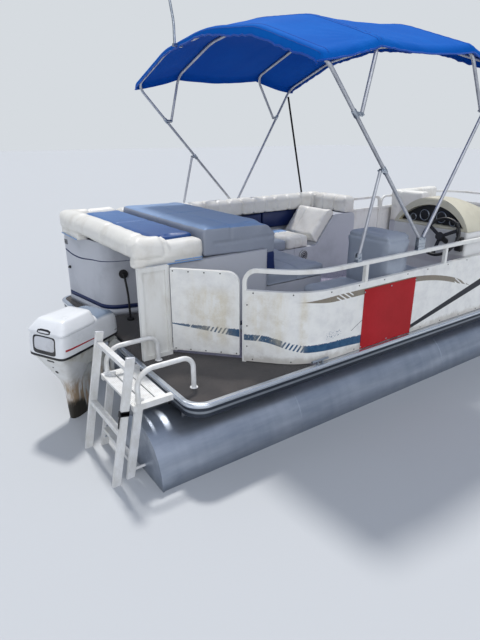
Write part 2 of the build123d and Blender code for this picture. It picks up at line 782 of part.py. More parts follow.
platform = []
rails = []
for y in (ladder_y0, ladder_y1):
    platform.append(slab(sx(-platform_aft), stern - clearance, y - 18, y + 18, plate_z - 38, plate_z))
for x in (34 - platform_aft, -148, -70):
    platform.append(slab(sx(x) - 34, sx(x) + 34, ladder_y0, ladder_y1, plate_z - 18, plate_z))
for y in (fixed_y0, fixed_y1):
    rails.append(slab(sx(-ladder_aft), rail_x1, y - rail_half, y + rail_half, uz(-ladder_fixed_bottom), uz(34), top=9))
    rails.append(slab(pivot_x - 22, sx(-ladder_aft) + 10, y - rail_half, y + rail_half, pivot_z - 30, pivot_z + 40))
rails.append(slab(sx(-ladder_aft), rail_x1, fixed_y0, fixed_y1, uz(-390), uz(-372)))
for y in (fixed_y0, fixed_y1):
    way = 1 if y > fixed_y0 else -1
    pin = Pos(pivot_x, y + way * 16, pivot_z) * Rot(90, 0, 0) * Cylinder(6, 48)
    rails.append(pin)
standoff_y = fixed_y0
standoff_x0 = rail_x1 - 32
standoff_x1 = sx(-float_overhang) - clearance
platform.append(Pos((standoff_x0 + standoff_x1) / 2, standoff_y, uz(-450)) * Rot(0, 90, 0)
                * Cylinder(9, standoff_x1 - standoff_x0))
keep("ladder_platform", ring_of(platform + [leaned(rail) for rail in rails]))


def hoop(y, top, foot_z):
    points = [(sx(-hoop_aft), y, foot_z), (sx(-hoop_aft), y, uz(top)), (sx(154), y, uz(top)), (sx(154), y, uz(0))]
    return pipe(points, [110, 75], hoop_tube)


keep("ladder_hoops", hoop(ladder_y0 - 3, 214, plate_z), hoop(ladder_y1 + 3, 180, plate_z))

fold_x0 = sx(-ladder_aft - ladder_gap - ladder_rail_width)
fold_x1 = fold_x0 + ladder_rail_width
fold = []
for y in (ladder_y0, ladder_y1):
    rail = slab(fold_x0, fold_x1, y - rail_half, y + rail_half, uz(-ladder_fold_bottom), uz(ladder_fold_top))
    fold.append(rail - Pos(pivot_x, y, pivot_z) * Rot(90, 0, 0) * Cylinder(6.5, 60))
for z in (240, -170):
    fold.append(slab(fold_x0 + 3, fold_x1 - 5, ladder_y0, ladder_y1, uz(z) - 22, uz(z)))
keep("folding_ladder", leaned(ring_of(fold)))

# Canopy frame
mount_z = uz(fence_top + mount_lift)
pole_y = canopy_half
aft_foot = (mount_x - 24, fence_top + mount_lift)
fore_foot = (mount_x + 24, fence_top + mount_lift)
aft_top = (950, 1905)
fore_top = (2800, 1950)
aft_second_foot = (1285, 1600)
aft_second_top = (1385, 2010)
fore_second_foot = (2570, 1650)
fore_second_top = (2340, 2045)
strut_foot = (1365, fence_top + 25)
strut_head = (1508, 1262)


def on_line(start, end, height):
    # The place on a straight leg at a height.
    share = (height - start[1]) / (end[1] - start[1])
    return start[0] + share * (end[0] - start[0])


def bow_hoop(foot, knee, diameter):
    # One bow: a leg up each side, a rounded knee, and an arch that rises to shoulders and a crown.
    fx, fz = foot
    kx, kz = knee
    points = [(sx(fx), -pole_y, uz(fz)), (sx(kx), -pole_y, uz(kz)), (sx(kx), -shoulder_half, uz(kz + shoulder_rise)),
              (sx(kx), 0, uz(kz + crown_rise)), (sx(kx), shoulder_half, uz(kz + shoulder_rise)),
              (sx(kx), pole_y, uz(kz)), (sx(fx), pole_y, uz(fz))]
    return pipe(points, [knee_radius, shoulder_radius, crown_radius, shoulder_radius, knee_radius], diameter)


bow_table = (
    # foot (x, z), knee (x, z)
    (aft_foot, aft_top),
    (fore_foot, fore_top),
    (aft_second_foot, aft_second_top),
    (fore_second_foot, fore_second_top),
)
bows = [bow_hoop(foot, knee, bow_tube) for foot, knee in bow_table]
bow_cutters = [bow_hoop(foot, knee, bow_tube + 2 * clearance) for foot, knee in bow_table]
keep("bimini_bow_aft", bows[0])
keep("bimini_bow_fore", bows[1])
keep("bimini_second_bows", bows[2], bows[3])


def strut(side, diameter):
    y = side * pole_y
    return rod_between((sx(strut_foot[0]), y, uz(strut_foot[1])), (sx(strut_head[0]), y, uz(strut_head[1])), diameter)


keep("bimini_struts", strut(-1, strut_tube), strut(1, strut_tube))
cutters = bow_cutters + [strut(-1, strut_tube + 2 * clearance), strut(1, strut_tube + 2 * clearance)]


def fitting(x0, x1, side, z0, z1):
    # A bracket that the tubes near it are let into.
    y = side * pole_y
    block = slab(sx(x0), sx(x1), y - 19, y + 19, uz(z0), uz(z1), corner=6)
    for cutter in cutters:
        block = block - cutter
    return max(block.solids(), key=lambda solid: solid.volume)


fittings = []
for side in (-1, 1):
    fittings.append(fitting(mount_x - 48, mount_x + 48, side, fence_top + clearance, fence_top + mount_lift + 14))
    fittings.append(fitting(strut_foot[0] - 24, strut_foot[0] + 24, side, fence_top + clearance, strut_foot[1] + 30))
    fittings.append(fitting(strut_head[0] - 14, on_line(aft_foot, aft_top, strut_head[1]) + 22, side,
                            strut_head[1] - 34, strut_head[1] + 16))
    fittings.append(fitting(on_line(aft_foot, aft_top, aft_second_foot[1]) - 20, aft_second_foot[0] + 18, side,
                            aft_second_foot[1] - 14, aft_second_foot[1] + 34))
    fittings.append(fitting(fore_second_foot[0] - 18, on_line(fore_foot, fore_top, fore_second_foot[1]) + 20, side,
                            fore_second_foot[1] - 14, fore_second_foot[1] + 34))
keep("bimini_fittings", *fittings)

# Canopy: a sheet that lies on the arches from bow to bow, with a short skirt down each side
canopy_off = bow_tube / 2 + clearance + 0.5
canopy_table = (
    # x, height of the edge
    (aft_top[0] - 32, aft_top[1] - 5),
    aft_top,
    aft_second_top,
    fore_second_top,
    fore_top,
    (fore_top[0] + 36, fore_top[1] - 8),
)
flank = atan2(shoulder_rise, pole_y - shoulder_half)
slope = atan2(crown_rise - shoulder_rise, shoulder_half)


def arch_line(away, edge):
    # Knee, shoulder and crown of a line that keeps one distance outside the bow's line; Y outward and Z.
    faces = [(1, 0), (sin(flank), cos(flank)), (sin(slope), cos(slope)), (-sin(slope), cos(slope))]
    corners = [(pole_y, edge), (shoulder_half, edge + shoulder_rise), (0, edge + crown_rise)]
    line = []
    for (y, z), (y0, z0), (y1, z1) in zip(corners, faces, faces[1:]):
        share = away / (1 + y0 * y1 + z0 * z1)
        line.append((y + share * (y0 + y1), uz(z + share * (z0 + z1))))
    return line


def canopy_section(x, edge):
    low = uz(edge - canopy_skirt)
    x = sx(x)
    outline = []
    radii = []
    for away, knee, turn in ((canopy_off + canopy_thickness, 60, 1), (canopy_off, 50, -1)):
        knee_at, shoulder_at, crown_at = arch_line(away, edge)
        half = [(knee_at[0], low), knee_at, shoulder_at]
        side = [(-y, z) for y, z in half] + [crown_at] + half[::-1]
        outline += side[::turn]
        radii += [0, knee, shoulder_radius + away, crown_radius + away, shoulder_radius + away, knee, 0]
    return make_face(FilletPolyline(*[(x, y, z) for y, z in outline], radius=radii, close=True))


keep("bimini_canopy", loft([canopy_section(x, edge) for x, edge in canopy_table], ruled=True))


def strap(side):
    height = fore_top[1] - 75
    start = (sx(on_line(fore_foot, fore_top, height) + 26), side * (pole_y - 2), uz(height))
    end = (sx(3080), side * fence_line, uz(fence_top) + 3.2)
    return carry(Rectangle(strap_thickness, strap_width), Line(start, end), across=Vector(0, 1, 0))


keep("bimini_straps", strap(-1), strap(1))

# Stern light on a pole clamped to the aft bow
pole_x = sx(aft_top[0]) - bow_tube / 2 - 34
pole_z = uz(aft_top[1] + crown_rise - tan(slope) * light_pole_y)
clamp_block = slab(pole_x - 14, sx(aft_top[0]) + 20, light_pole_y - 14, light_pole_y + 14, pole_z - 18, pole_z + 5)
clamp_block = clamp_block - bow_cutters[0]
clamp_block = max(clamp_block.solids(), key=lambda solid: solid.volume)
pole_points = [(pole_x, light_pole_y, pole_z), (pole_x, light_pole_y, pole_z + 150),
               (pole_x - 90, light_pole_y, pole_z + light_pole_height)]
pole = pipe(pole_points, [500], light_pole_tube)
lamp = Pos(pole_x - 90, light_pole_y, pole_z + light_pole_height + 25) * Cylinder(28, 60)
keep("stern_light", ring_of([clamp_block, pole, lamp]))

# Rigging loom from the lounge wall to the deck
wall_a = Vector(aft_x + 110, recess_half + 130, 0)
wall_b = Vector(recess_x, recess_half, 0)
wall_way = (wall_b - wall_a).normalized()
wall_out = Vector(wall_way.Y, -wall_way.X, 0)
boot_height = 370
boot_spot = wall_a + wall_way * 160
boot_spot = Vector(boot_spot.X, boot_spot.Y, uz(boot_height))
cable_diameter = 18
boot_depth = 16
boot_place = Plane(origin=boot_spot + wall_out * clearance, z_dir=wall_out)
wall_boot = boot_place * Pos(0, 0, boot_depth / 2) * Cylinder(38, boot_depth)
cable_points = [
    boot_spot + wall_out * (boot_depth + 2 * clearance),
    boot_spot + wall_out * 70,
    boot_spot + wall_out * 112 + Vector(6, 0, -58),
    boot_spot + wall_out * 134 + Vector(14, 0, -145),
    boot_spot + wall_out * 146 + Vector(16, 0, -235),
    boot_spot + wall_out * 146 + Vector(16, 0, -boot_height + 20 + clearance),
]
runs = [(b - a).length for a, b in zip(cable_points, cable_points[1:])]
turns = [(b - a).get_angle(c - b) for a, b, c in zip(cable_points, cable_points[1:], cable_points[2:])]
cable_radii = [0.45 * min(r0, r1) / tan(radians(turn / 2)) for r0, r1, turn in zip(runs, runs[1:], turns)]
print("cable radii", [round(radius) for radius in cable_radii])
cable_path = FilletPolyline(*cable_points, radius=cable_radii)
cable = carry(Circle(cable_diameter / 2), cable_path)
print("cable length", round(cable_path.length), "volume share", round(
    cable.volume / (cable_path.length * 3.14159265 * (cable_diameter / 2) ** 2), 4))
last = cable_points[-1]
deck_boot = Pos(last.X, last.Y, uz(0) + 10) * Cylinder(30, 20 - clearance)
keep("rigging_boots", wall_boot, deck_boot)
keep("rigging_cable", cable)

# Outboard motor
tx = sx(tilt_x)
tz = uz(tilt_z)
kx = sx(kingpin_x)
transom_aft = transom_front - transom_thickness
pin_radius = kingpin_diameter / 2
swivel_top = tz - 2
swivel_bottom = tz - 290
yoke = 20
run_gap = 4


def steered(shape):
    # The motor stands turned on its kingpin, its aft end to starboard.
    return Pos(kx, 0, 0) * Rot(0, 0, steer_rest) * Pos(-kx, 0, 0) * shape


def clamp_plate(y0, y1):
    points = [
        (transom_aft - 24, tz - 300), (transom_aft - 24, tz - 30), (tx - 20, tz + 10), (tx + 8, tz + 12),
        (tx + 22, tz - 6), (transom_front + 26, tz - 22), (transom_front + 26, cross_under + 12),
        (transom_front + clearance, cross_under + 12), (transom_front + clearance, transom_top + clearance),
        (transom_aft - clearance, transom_top + clearance), (transom_aft - clearance, tz - 300),
    ]
    return side_solid(points, [6, 20, 8, 8, 8, 8, 4, 4, 0, 0, 4], y0, y1)


tilt_tube = Pos(tx, 0, tz) * Rot(90, 0, 0) * Cylinder(tilt_pin / 2, 250)
clamp = ring_of([clamp_plate(-116, -92), clamp_plate(92, 116), tilt_tube])
clamp = clamp + slab(transom_aft - 12, transom_aft - clearance, -100, 100, tz - 296, tz - 250)
keep("clamp_bracket", clamp)

web = side_solid(
    [(tx, tz + 20), (kx, swivel_top), (kx, swivel_bottom), (kx + 44, swivel_bottom), (transom_aft - 34, tz - 200),
     (transom_aft - 34, transom_top + 8), (tx, tz - 24)], [4, 4, 4, 10, 30, 10, 4], -42, 42)
barrel = Pos(tx, 0, tz) * Rot(90, 0, 0) * Cylinder(24, 2 * (92 - run_gap))
tube = Pos(kx, 0, (swivel_top + swivel_bottom) / 2) * Cylinder(34, swivel_top - swivel_bottom)
swivel = ring_of([web, barrel, tube])
swivel = swivel - Pos(tx, 0, tz) * Rot(90, 0, 0) * Cylinder(tilt_pin / 2 + clearance, 300)
swivel = swivel - Pos(kx, 0, tz - 140) * Cylinder(pin_radius + clearance, 400)
swivel = swivel - slab(kx - 60, kx + 60, -60, 60, swivel_top, tz + 60)
keep("swivel_bracket", swivel)


def level_oval(x0, x1, half, z, corner):
    # A rounded rectangle lying level.
    place = Plane(origin=((x0 + x1) / 2, 0, z))
    return place * RectangleRounded(x1 - x0, 2 * half, min(corner, half - 1, (x1 - x0) / 2 - 1))


plate_level = transom_top - shaft_length
leg_front = kx - 42
leg = loft([
    level_oval(leg_front - 210, leg_front, 72, tz + 24, 40),
    level_oval(leg_front - 165, leg_front, 52, tz - 160, 40),
    level_oval(leg_front - 150, leg_front, 40, tz - 330, 34),
    level_oval(leg_front - 150, leg_front, 26, plate_level, 24),
    level_oval(leg_front - 150, leg_front - 10, 20, plate_level - gearcase_drop, 18),
], ruled=True)
top_yoke = slab(leg_front - 20, kx + 34, -40, 40, swivel_top + run_gap, tz + 24, corner=20)
low_yoke = slab(leg_front - 20, kx + 34, -36, 36, swivel_bottom - run_gap - yoke, swivel_bottom - run_gap, corner=20)
kingpin_low = swivel_bottom - run_gap - yoke
kingpin = Pos(kx, 0, (kingpin_low + tz + 24) / 2) * Cylinder(pin_radius, tz + 24 - kingpin_low)
plate = plan_solid([(leg_front + 4, -26), (leg_front + 4, 26), (leg_front - 240, 84), (leg_front - 300, 70),
                    (leg_front - 300, -70), (leg_front - 240, -84)], [20, 20, 60, 30, 30, 60],
                   plate_level - 4, plate_level + 4)
shaft_z = plate_level - gearcase_drop
case_aft = leg_front - 250
case_nose = leg_front + 30
case_outline = make_face([
    Line((case_aft, 0, 0), (case_nose, 0, 0)),
    ThreePointArc((case_nose, 0, 0), (case_nose - 32, 0, gearcase_radius * 0.78), (case_nose - 100, 0, gearcase_radius)),
    Line((case_nose - 100, 0, gearcase_radius), (case_aft + 40, 0, gearcase_radius)),
    Line((case_aft + 40, 0, gearcase_radius), (case_aft, 0, gearcase_radius * 0.86)),
    Line((case_aft, 0, gearcase_radius * 0.86), (case_aft, 0, 0)),
])
gearcase = Pos(0, 0, shaft_z) * revolve(case_outline, Axis.X)
skeg = side_solid([(case_nose - 90, shaft_z - 30), (case_nose - 150, shaft_z - skeg_drop),
                   (case_nose - 215, shaft_z - skeg_drop), (case_nose - 200, shaft_z - 30)], [4, 12, 12, 4], -5, 5)
keep("drive_leg", steered(ring_of([leg, top_yoke, low_yoke, kingpin, plate, gearcase, skeg])))

hub_length = 112
hub_front = case_aft - clearance
hub = Pos(hub_front - hub_length / 2, 0, shaft_z) * Rot(0, 90, 0) * Cylinder(44, hub_length)
shaft_nut = Pos(hub_front - hub_length - 12, 0, shaft_z) * Rot(0, 90, 0) * Cylinder(16, 26)
blade_pitch = 28
blade_reach = propeller_diameter / 2 - 40
blade = Rot(0, blade_pitch, 0) * extrude(Ellipse(52, blade_reach / 2 + 8), amount=3.5, both=True)
blade_set = [Pos(hub_front - hub_length / 2, 0, shaft_z) * Rot(360 / blades * n, 0, 0) * Pos(0, blade_reach / 2 + 32, 0)
             * blade for n in range(blades)]
keep("propeller", steered(ring_of([hub, shaft_nut, *blade_set])))

seam_z = uz(cowl_seam)
tray_z = tz + 24 + clearance
tray = plan_solid([(sx(cowl_aft), -cowl_half + 6), (sx(cowl_front), -cowl_half + 26), (sx(cowl_front), cowl_half - 26),
                   (sx(cowl_aft), cowl_half - 6)], [70, 70, 70, 70], tray_z, seam_z)
chin = loft([
    level_oval(sx(cowl_aft) + 12, leg_front - 2, cowl_half - 22, tray_z + 1, 60),
    level_oval(leg_front - 250, leg_front - 2, 82, tz - 120, 50),
], ruled=True)
inner_leg = loft([
    level_oval(leg_front - 210 - clearance, leg_front + clearance, 72 + clearance, tz + 24 + clearance, 40),
    level_oval(leg_front - 165 - clearance, leg_front + clearance, 52 + clearance, tz - 160, 40),
], ruled=True)
keep("motor_pan", steered((tray + chin) - inner_leg))

cowl_z = seam_z + clearance
cowl_plan = plan_solid([(sx(cowl_aft), -cowl_half), (sx(cowl_front), -cowl_half + 20), (sx(cowl_front), cowl_half - 20),
                        (sx(cowl_aft), cowl_half)], [42, 80, 80, 42], cowl_z, uz(cowl_top) + 5)
cowl_side = side_solid([
    (sx(cowl_aft) - 6, cowl_z - 6), (sx(cowl_aft + 22), uz(215)), (sx(cowl_aft + 130), uz(cowl_top)),
    (sx(cowl_aft + 390), uz(cowl_top)), (sx(cowl_front - 70), uz(268)), (sx(cowl_front) + 6, uz(196)),
    (sx(cowl_front) + 6, cowl_z - 6),
], [0, 50, 60, 60, 60, 30, 0], -cowl_half - 8, cowl_half + 8)
cowl_cross = cross_solid([
    (-cowl_half - 4, cowl_z - 9), (cowl_half + 4, cowl_z - 9), (cowl_half - 8, uz(200)), (cowl_half - 54, uz(cowl_top + 2)),
    (-cowl_half + 54, uz(cowl_top + 2)), (-cowl_half + 8, uz(200)),
], [0, 0, 50, 50, 50, 50], sx(cowl_aft) - 9, sx(cowl_front) + 9)
cowl = cowl_plan & cowl_side & cowl_cross
grip = slab(sx(cowl_aft + 30), sx(cowl_aft + 90), -52, 52, uz(238), uz(262))
keep("motor_cowl", steered(cowl - grip))

for name, piece in parts.items():
    export_step(piece, f"parts/{name}.step")
print(len(parts), "pieces")
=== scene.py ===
from itertools import product
from math import atan2, cos, pi, radians, sin, tan
import bmesh
import bpy
import numpy as np
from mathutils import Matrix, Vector


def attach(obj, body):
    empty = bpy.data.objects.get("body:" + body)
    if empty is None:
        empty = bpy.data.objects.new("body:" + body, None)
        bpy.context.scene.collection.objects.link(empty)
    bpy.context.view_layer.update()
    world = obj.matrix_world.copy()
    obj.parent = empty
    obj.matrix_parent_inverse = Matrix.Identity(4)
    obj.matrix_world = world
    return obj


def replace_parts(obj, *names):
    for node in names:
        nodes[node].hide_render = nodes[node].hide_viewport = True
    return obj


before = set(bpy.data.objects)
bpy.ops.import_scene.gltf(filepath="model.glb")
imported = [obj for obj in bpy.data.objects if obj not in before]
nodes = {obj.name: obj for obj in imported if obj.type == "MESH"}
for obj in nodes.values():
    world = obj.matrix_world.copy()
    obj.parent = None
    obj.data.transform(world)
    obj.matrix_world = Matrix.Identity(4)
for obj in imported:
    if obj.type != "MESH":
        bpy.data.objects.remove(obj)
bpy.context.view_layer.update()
print("frame loaded")

# Main lines of the boat in metres: the deck's ends, half the beam, the deck's top, and the fence's place inboard
sternX, bowX, halfBeam, deckZ, fenceInset = -3.05, 3.05, 1.295, 0.5, 0.054
fenceLine = halfBeam - fenceInset


def sx(fromStern):
    # X of a place measured forward from the stern.
    return sternX + fromStern


def iy(inboard):
    # Y of a place measured inboard from the starboard edge of the deck.
    return inboard - halfBeam


def uz(aboveDeck):
    # Z of a place measured up from the deck.
    return deckZ + aboveDeck


motor = {"kingX": sx(-0.135), "steered": radians(28)}  # the kingpin's line, and the turn of the steered motor about it


def tint(red, green, blue):
    # Screen values from 0 to 255 as the linear colour that a shader takes.
    share = np.array([red, green, blue]) / 255
    linear = np.where(share < 0.04045, share / 12.92, ((share + 0.055) / 1.055) ** 2.4)
    return (*[float(v) for v in linear], 1.0)


# Camera at the photograph's viewing angle
cameraPlan = {"place": (-4.265, -3.503, 2.0), "heading": (0.575, 0.818, 0), "downward": radians(20.6), "lens": 28.1,
              "sensor": 36, "farthest": 400}
scene = bpy.context.scene
scene.view_settings.view_transform = "Standard"
camera = bpy.data.objects.new("viewCamera", bpy.data.cameras.new("viewCamera"))
scene.collection.objects.link(camera)
heading, pitch = Vector(cameraPlan["heading"]).normalized(), cameraPlan["downward"]
sight = Vector((heading.x * cos(pitch), heading.y * cos(pitch), -sin(pitch)))
camera.location = cameraPlan["place"]
camera.rotation_euler = sight.to_track_quat("-Z", "Y").to_euler()
camera.data.lens = cameraPlan["lens"]
camera.data.sensor_width = cameraPlan["sensor"]
camera.data.clip_end = cameraPlan["farthest"]
scene.camera = camera
print("camera set")


class Num:
    # A shader socket that ordinary arithmetic works on; each sign adds one Math node.
    def __init__(self, shade, socket):
        self.shade, self.socket = shade, socket

    def __add__(self, other):
        return self.shade.maths("ADD", self, other)

    def __sub__(self, other):
        return self.shade.maths("SUBTRACT", self, other)

    def __rsub__(self, other):
        return self.shade.maths("SUBTRACT", other, self)

    def __mul__(self, other):
        return self.shade.maths("MULTIPLY", self, other)

    def __truediv__(self, other):
        return self.shade.maths("DIVIDE", self, other)

    __radd__ = __add__
    __rmul__ = __mul__

    def most(self, other):
        # The larger of the two.
        return self.shade.maths("MAXIMUM", self, other)

    def least(self, other):
        # The smaller of the two.
        return self.shade.maths("MINIMUM", self, other)

    def part(self):
        # What is left over the whole number below.
        return self.shade.maths("FRACT", self, 0)

    def clip(self):
        # Held between 0 and 1.
        return self.most(0).least(1)

    def rise(self, low, high):
        # 0 below low, 1 above high, eased between; falls where low is the larger.
        inputs = {"Value": self, "From Min": low, "From Max": high}
        return self.shade.node("ShaderNodeMapRange", inputs, interpolation_type="SMOOTHSTEP")

    def between(self, low, high, soft):
        # 1 from low to high, with eased edges.
        return self.rise(low - soft, low + soft) * self.rise(high + soft, high - soft)


class Shade:
    # One material and the nodes that it needs.
    def __init__(self, name):
        self.material = bpy.data.materials.new(name)
        self.material.use_nodes = True
        self.tree = self.material.node_tree
        self.surface = self.tree.nodes["Principled BSDF"]

    def join(self, socket, value):
        # A link where the value is a socket, else the socket's own value.
        if isinstance(value, Num):
            self.tree.links.new(value.socket, socket)
        else:
            socket.default_value = value

    def node(self, kind, inputs=None, out=0, **settings):
        # A node of any kind: its settings first, then what its sockets take; it gives the socket out.
        made = self.tree.nodes.new(kind)
        for key, value in settings.items():
            setattr(made, key, value)
        for key, value in (inputs or {}).items():
            self.join(made.inputs[key], value)
        return Num(self, made.outputs[out])

    def maths(self, operation, first, second):
        return self.node("ShaderNodeMath", {0: first, 1: second}, operation=operation)

    def spot(self, kind="Object"):
        # Object, UV or Normal coordinates.
        return self.node("ShaderNodeTexCoord", out=kind)

    def axis(self, vector, letter):
        # The X, Y or Z of a vector.
        return self.node("ShaderNodeSeparateXYZ", {0: vector}, out=letter)

    def noise(self, scale, detail=3.0, where=None, stretch=None, rough=0.5):
        # Clouds of noise, closer together along the axes that stretch makes larger.
        where = where or self.spot()
        if stretch:
            where = self.node("ShaderNodeMapping", {"Vector": where, "Scale": stretch})
        inputs = {"Vector": where, "Scale": scale, "Detail": detail, "Roughness": rough}
        return self.node("ShaderNodeTexNoise", inputs)

    def mix(self, share, first, second):
        # Colour sockets of the Mix node are its inputs 6 and 7 and its output 2.
        return self.node("ShaderNodeMix", {0: share, 6: first, 7: second}, out=2, data_type="RGBA")

    def tilt(self, height, distance, strength=1.0):
        # The normal bent by a height pattern.
        return self.node("ShaderNodeBump", {"Strength": strength, "Distance": distance, "Height": height})

    def done(self, normal=None, **values):
        # The finished material; an underscore in a name stands for a space.
        for key, value in values.items():
            self.join(self.surface.inputs[key.replace("_", " ")], value)
        if normal is not None:
            self.join(self.surface.inputs["Normal"], normal)
        return self.material


def finish(name, colour, rough, metal=0.0, grain=900.0, depth=0.0002, soil=None, soilShare=0.3, soilScale=3.0,
           stretch=None, sheen=0.0, coat=0.0, spread=0.08, specular=0.5):
    # A plain finish: patches of soil, slow changes of gloss, and a fine grain.
    shade = Shade(name)
    patches = shade.noise(soilScale, 5.0, stretch=stretch, rough=0.62)
    base = colour
    if soil:
        base = shade.mix(patches.rise(0.45, 0.75) * soilShare, colour, soil)
    gloss = patches * (2 * spread) + (rough - spread)
    normal = shade.tilt(shade.noise(grain, 2.0), depth)
    shade.surface.inputs["Sheen Weight"].default_value = sheen
    shade.surface.inputs["Coat Weight"].default_value = coat
    shade.surface.inputs["Specular IOR Level"].default_value = specular
    return shade.done(normal, Base_Color=base, Roughness=gloss, Metallic=metal)


def brushed(name, colour, dark, rough, lines, scale=6.0, depth=0.0003, metal=1.0):
    # Metal with streaks along one way, duller where the streaks are dark.
    shade = Shade(name)
    streaks = shade.noise(scale, 6.0, stretch=lines, rough=0.7)
    blotch = shade.noise(2.2, 5.0, rough=0.6)
    share = (streaks * 0.7 + blotch * 0.5 - 0.3).rise(0.1, 0.55)
    base = shade.mix(share, dark, colour)
    normal = shade.tilt(streaks + shade.noise(500, 2.0) * 0.3, depth)
    return shade.done(normal, Base_Color=base, Roughness=share * -0.16 + (rough + 0.1), Metallic=metal)


def floatLook():
    # Rolled sheet, pale above, with a dull waterline zone, soft streaks along it and runs down it.
    shade = Shade("floatMetal")
    z = shade.axis(shade.spot(), "Z")
    streaks = shade.noise(3.0, 5.0, stretch=(0.8, 5.0, 5.0), rough=0.55)
    runs = shade.noise(2.2, 4.0, stretch=(5.0, 1.0, 0.7), rough=0.5)
    share = (streaks * 0.7 + runs * 0.4 - 0.25).rise(0.0, 0.7)
    base = shade.mix(share, tint(148, 158, 174), tint(188, 195, 206))
    low = z.rise(0.12, -0.10) * (runs * 0.6 + 0.55)
    base = shade.mix(low.clip() * 0.75, base, tint(66, 70, 70))
    normal = shade.tilt(streaks + shade.noise(300, 2.0) * 0.15, 0.0006, 0.6)
    return shade.done(normal, Base_Color=base, Roughness=share * -0.14 + 0.42, Metallic=0.85)


def edgeLook():
    # A bright half-round bead over a skirt painted dark for the shade under the deck, with a painted highlight line.
    shade = Shade("edgeRail")
    z = shade.axis(shade.spot(), "Z")
    streaks = shade.noise(6.0, 4.0, stretch=(0.6, 8.0, 8.0), rough=0.6)
    above = z.rise(deckZ - 0.034, deckZ - 0.022)
    bright = shade.mix(streaks, tint(196, 203, 212), tint(224, 229, 235))
    # The skirt's dark colour is painted shade.
    dull = shade.mix(streaks, tint(48, 52, 60), tint(72, 78, 88))
    # The paler line across the skirt is a painted highlight on a lit edge.
    line = z.between(deckZ - 0.066, deckZ - 0.050, 0.003)
    dull = shade.mix(line, dull, shade.mix(streaks, tint(128, 134, 142), tint(160, 166, 172)))
    normal = shade.tilt(streaks, 0.0002)
    return shade.done(normal, Base_Color=shade.mix(above, dull, bright), Roughness=above * -0.26 + 0.5, Metallic=0.9)


def carpetLook():
    # Dark worn pile outside the gate, a paler lavender pile past the slanting line of the gate.
    shade = Shade("carpet")
    spot = shade.spot()
    x, y = shade.axis(spot, "X"), shade.axis(spot, "Y")
    pastGate = ((x - sx(0.27)) * 0.737 + (y + 0.515) * 0.676).rise(0.035, 0.045)
    inside = pastGate * (x.rise(sx(0.63), sx(0.64)) + y.rise(-0.46, -0.47)).clip()
    tuft, wear = shade.noise(420, 2.0), shade.noise(2.4, 5.0, rough=0.65)
    fleck = shade.noise(60, 3.0, rough=0.7)
    dark = shade.mix(wear.rise(0.35, 0.75), tint(38, 34, 34), tint(66, 60, 57))
    pale = shade.mix(wear.rise(0.3, 0.75), tint(122, 118, 138), tint(164, 158, 176))
    base = shade.mix(inside, shade.mix(fleck.rise(0.5, 0.7) * 0.35, dark, tint(86, 78, 74)),
                     shade.mix(fleck.rise(0.45, 0.7) * 0.5, pale, tint(190, 184, 200)))
    shade.surface.inputs["Sheen Weight"].default_value = 0.3
    shade.surface.inputs["Specular IOR Level"].default_value = 0.15
    return shade.done(shade.tilt(tuft + fleck * 0.5, 0.002), Base_Color=base, Roughness=wear * 0.06 + 0.9)


def bandLook():
    # Deep blue at the starboard end, sun-faded to port.
    shade = Shade("blueVinyl")
    y = shade.axis(shade.spot(), "Y")
    cloud = shade.noise(5.0, 4.0, rough=0.6)
    base = shade.mix((y.rise(-0.75, 1.0) * 0.8 + cloud * 0.3 - 0.12).clip(), tint(20, 58, 118), tint(74, 116, 170))
    return shade.done(shade.tilt(shade.noise(900, 2.0), 0.0002), Base_Color=base, Roughness=cloud * 0.15 + 0.32)


def padLook():
    # Grey sides, a top painted blue as the cast of skylight in shade, and a navy foot on the face toward the bench.
    shade = Shade("padVinyl")
    spot = shade.spot()
    x, z = shade.axis(spot, "X"), shade.axis(spot, "Z")
    cloud = shade.noise(3.0, 4.0, rough=0.6)
    # Faces turned up get the painted blue cast of skylight in shade; the sides keep the vinyl's own grey.
    upward = shade.axis(shade.spot("Normal"), "Z").rise(0.55, 0.85)
    side = shade.mix(cloud, tint(134, 142, 156), tint(156, 162, 174))
    top = shade.mix(cloud, tint(116, 146, 186), tint(142, 166, 198))
    foot = x.rise(sx(1.18), sx(1.20)) * z.rise(uz(0.615), uz(0.605))
    base = shade.mix(foot, shade.mix(upward, side, top), tint(22, 40, 88))
    return shade.done(shade.tilt(shade.noise(900, 2.0), 0.0002), Base_Color=base, Roughness=cloud * 0.15 + 0.36)


def chaiseLook():
    # Off-white with one light-blue stripe across the seat.
    shade = Shade("chaiseVinyl")
    y = shade.axis(shade.spot(), "Y")
    cloud = shade.noise(5.0, 4.0, rough=0.6)
    base = shade.mix(cloud.rise(0.4, 0.8) * 0.35, tint(228, 226, 219), tint(178, 168, 150))
    base = shade.mix(y.between(0.80, 0.93, 0.003), base, shade.mix(cloud, tint(110, 152, 204), tint(146, 178, 216)))
    return shade.done(shade.tilt(shade.noise(900, 2.0), 0.0002), Base_Color=base, Roughness=cloud * 0.15 + 0.36)


def legLook():
    # Grey paint with rust-brown runs, dark at and under the waterline.
    shade = Shade("legPaint")
    z = shade.axis(shade.spot(), "Z")
    runs = shade.noise(7.0, 5.0, stretch=(6.0, 6.0, 0.8), rough=0.6)
    patches = shade.noise(11.0, 4.0, rough=0.6)
    base = shade.mix(patches.rise(0.4, 0.7), tint(186, 188, 186), tint(160, 160, 154))
    brown = (runs.rise(0.42, 0.62) * z.rise(0.42, 0.12) * 0.85).clip()
    base = shade.mix(brown, base, tint(150, 112, 66))
    darkLow = (z + (patches - 0.5) * 0.12).rise(0.10, 0.0)
    base = shade.mix(darkLow, base, tint(42, 40, 32))
    return shade.done(shade.tilt(patches, 0.0006), Base_Color=base, Roughness=darkLow * 0.3 + 0.4)


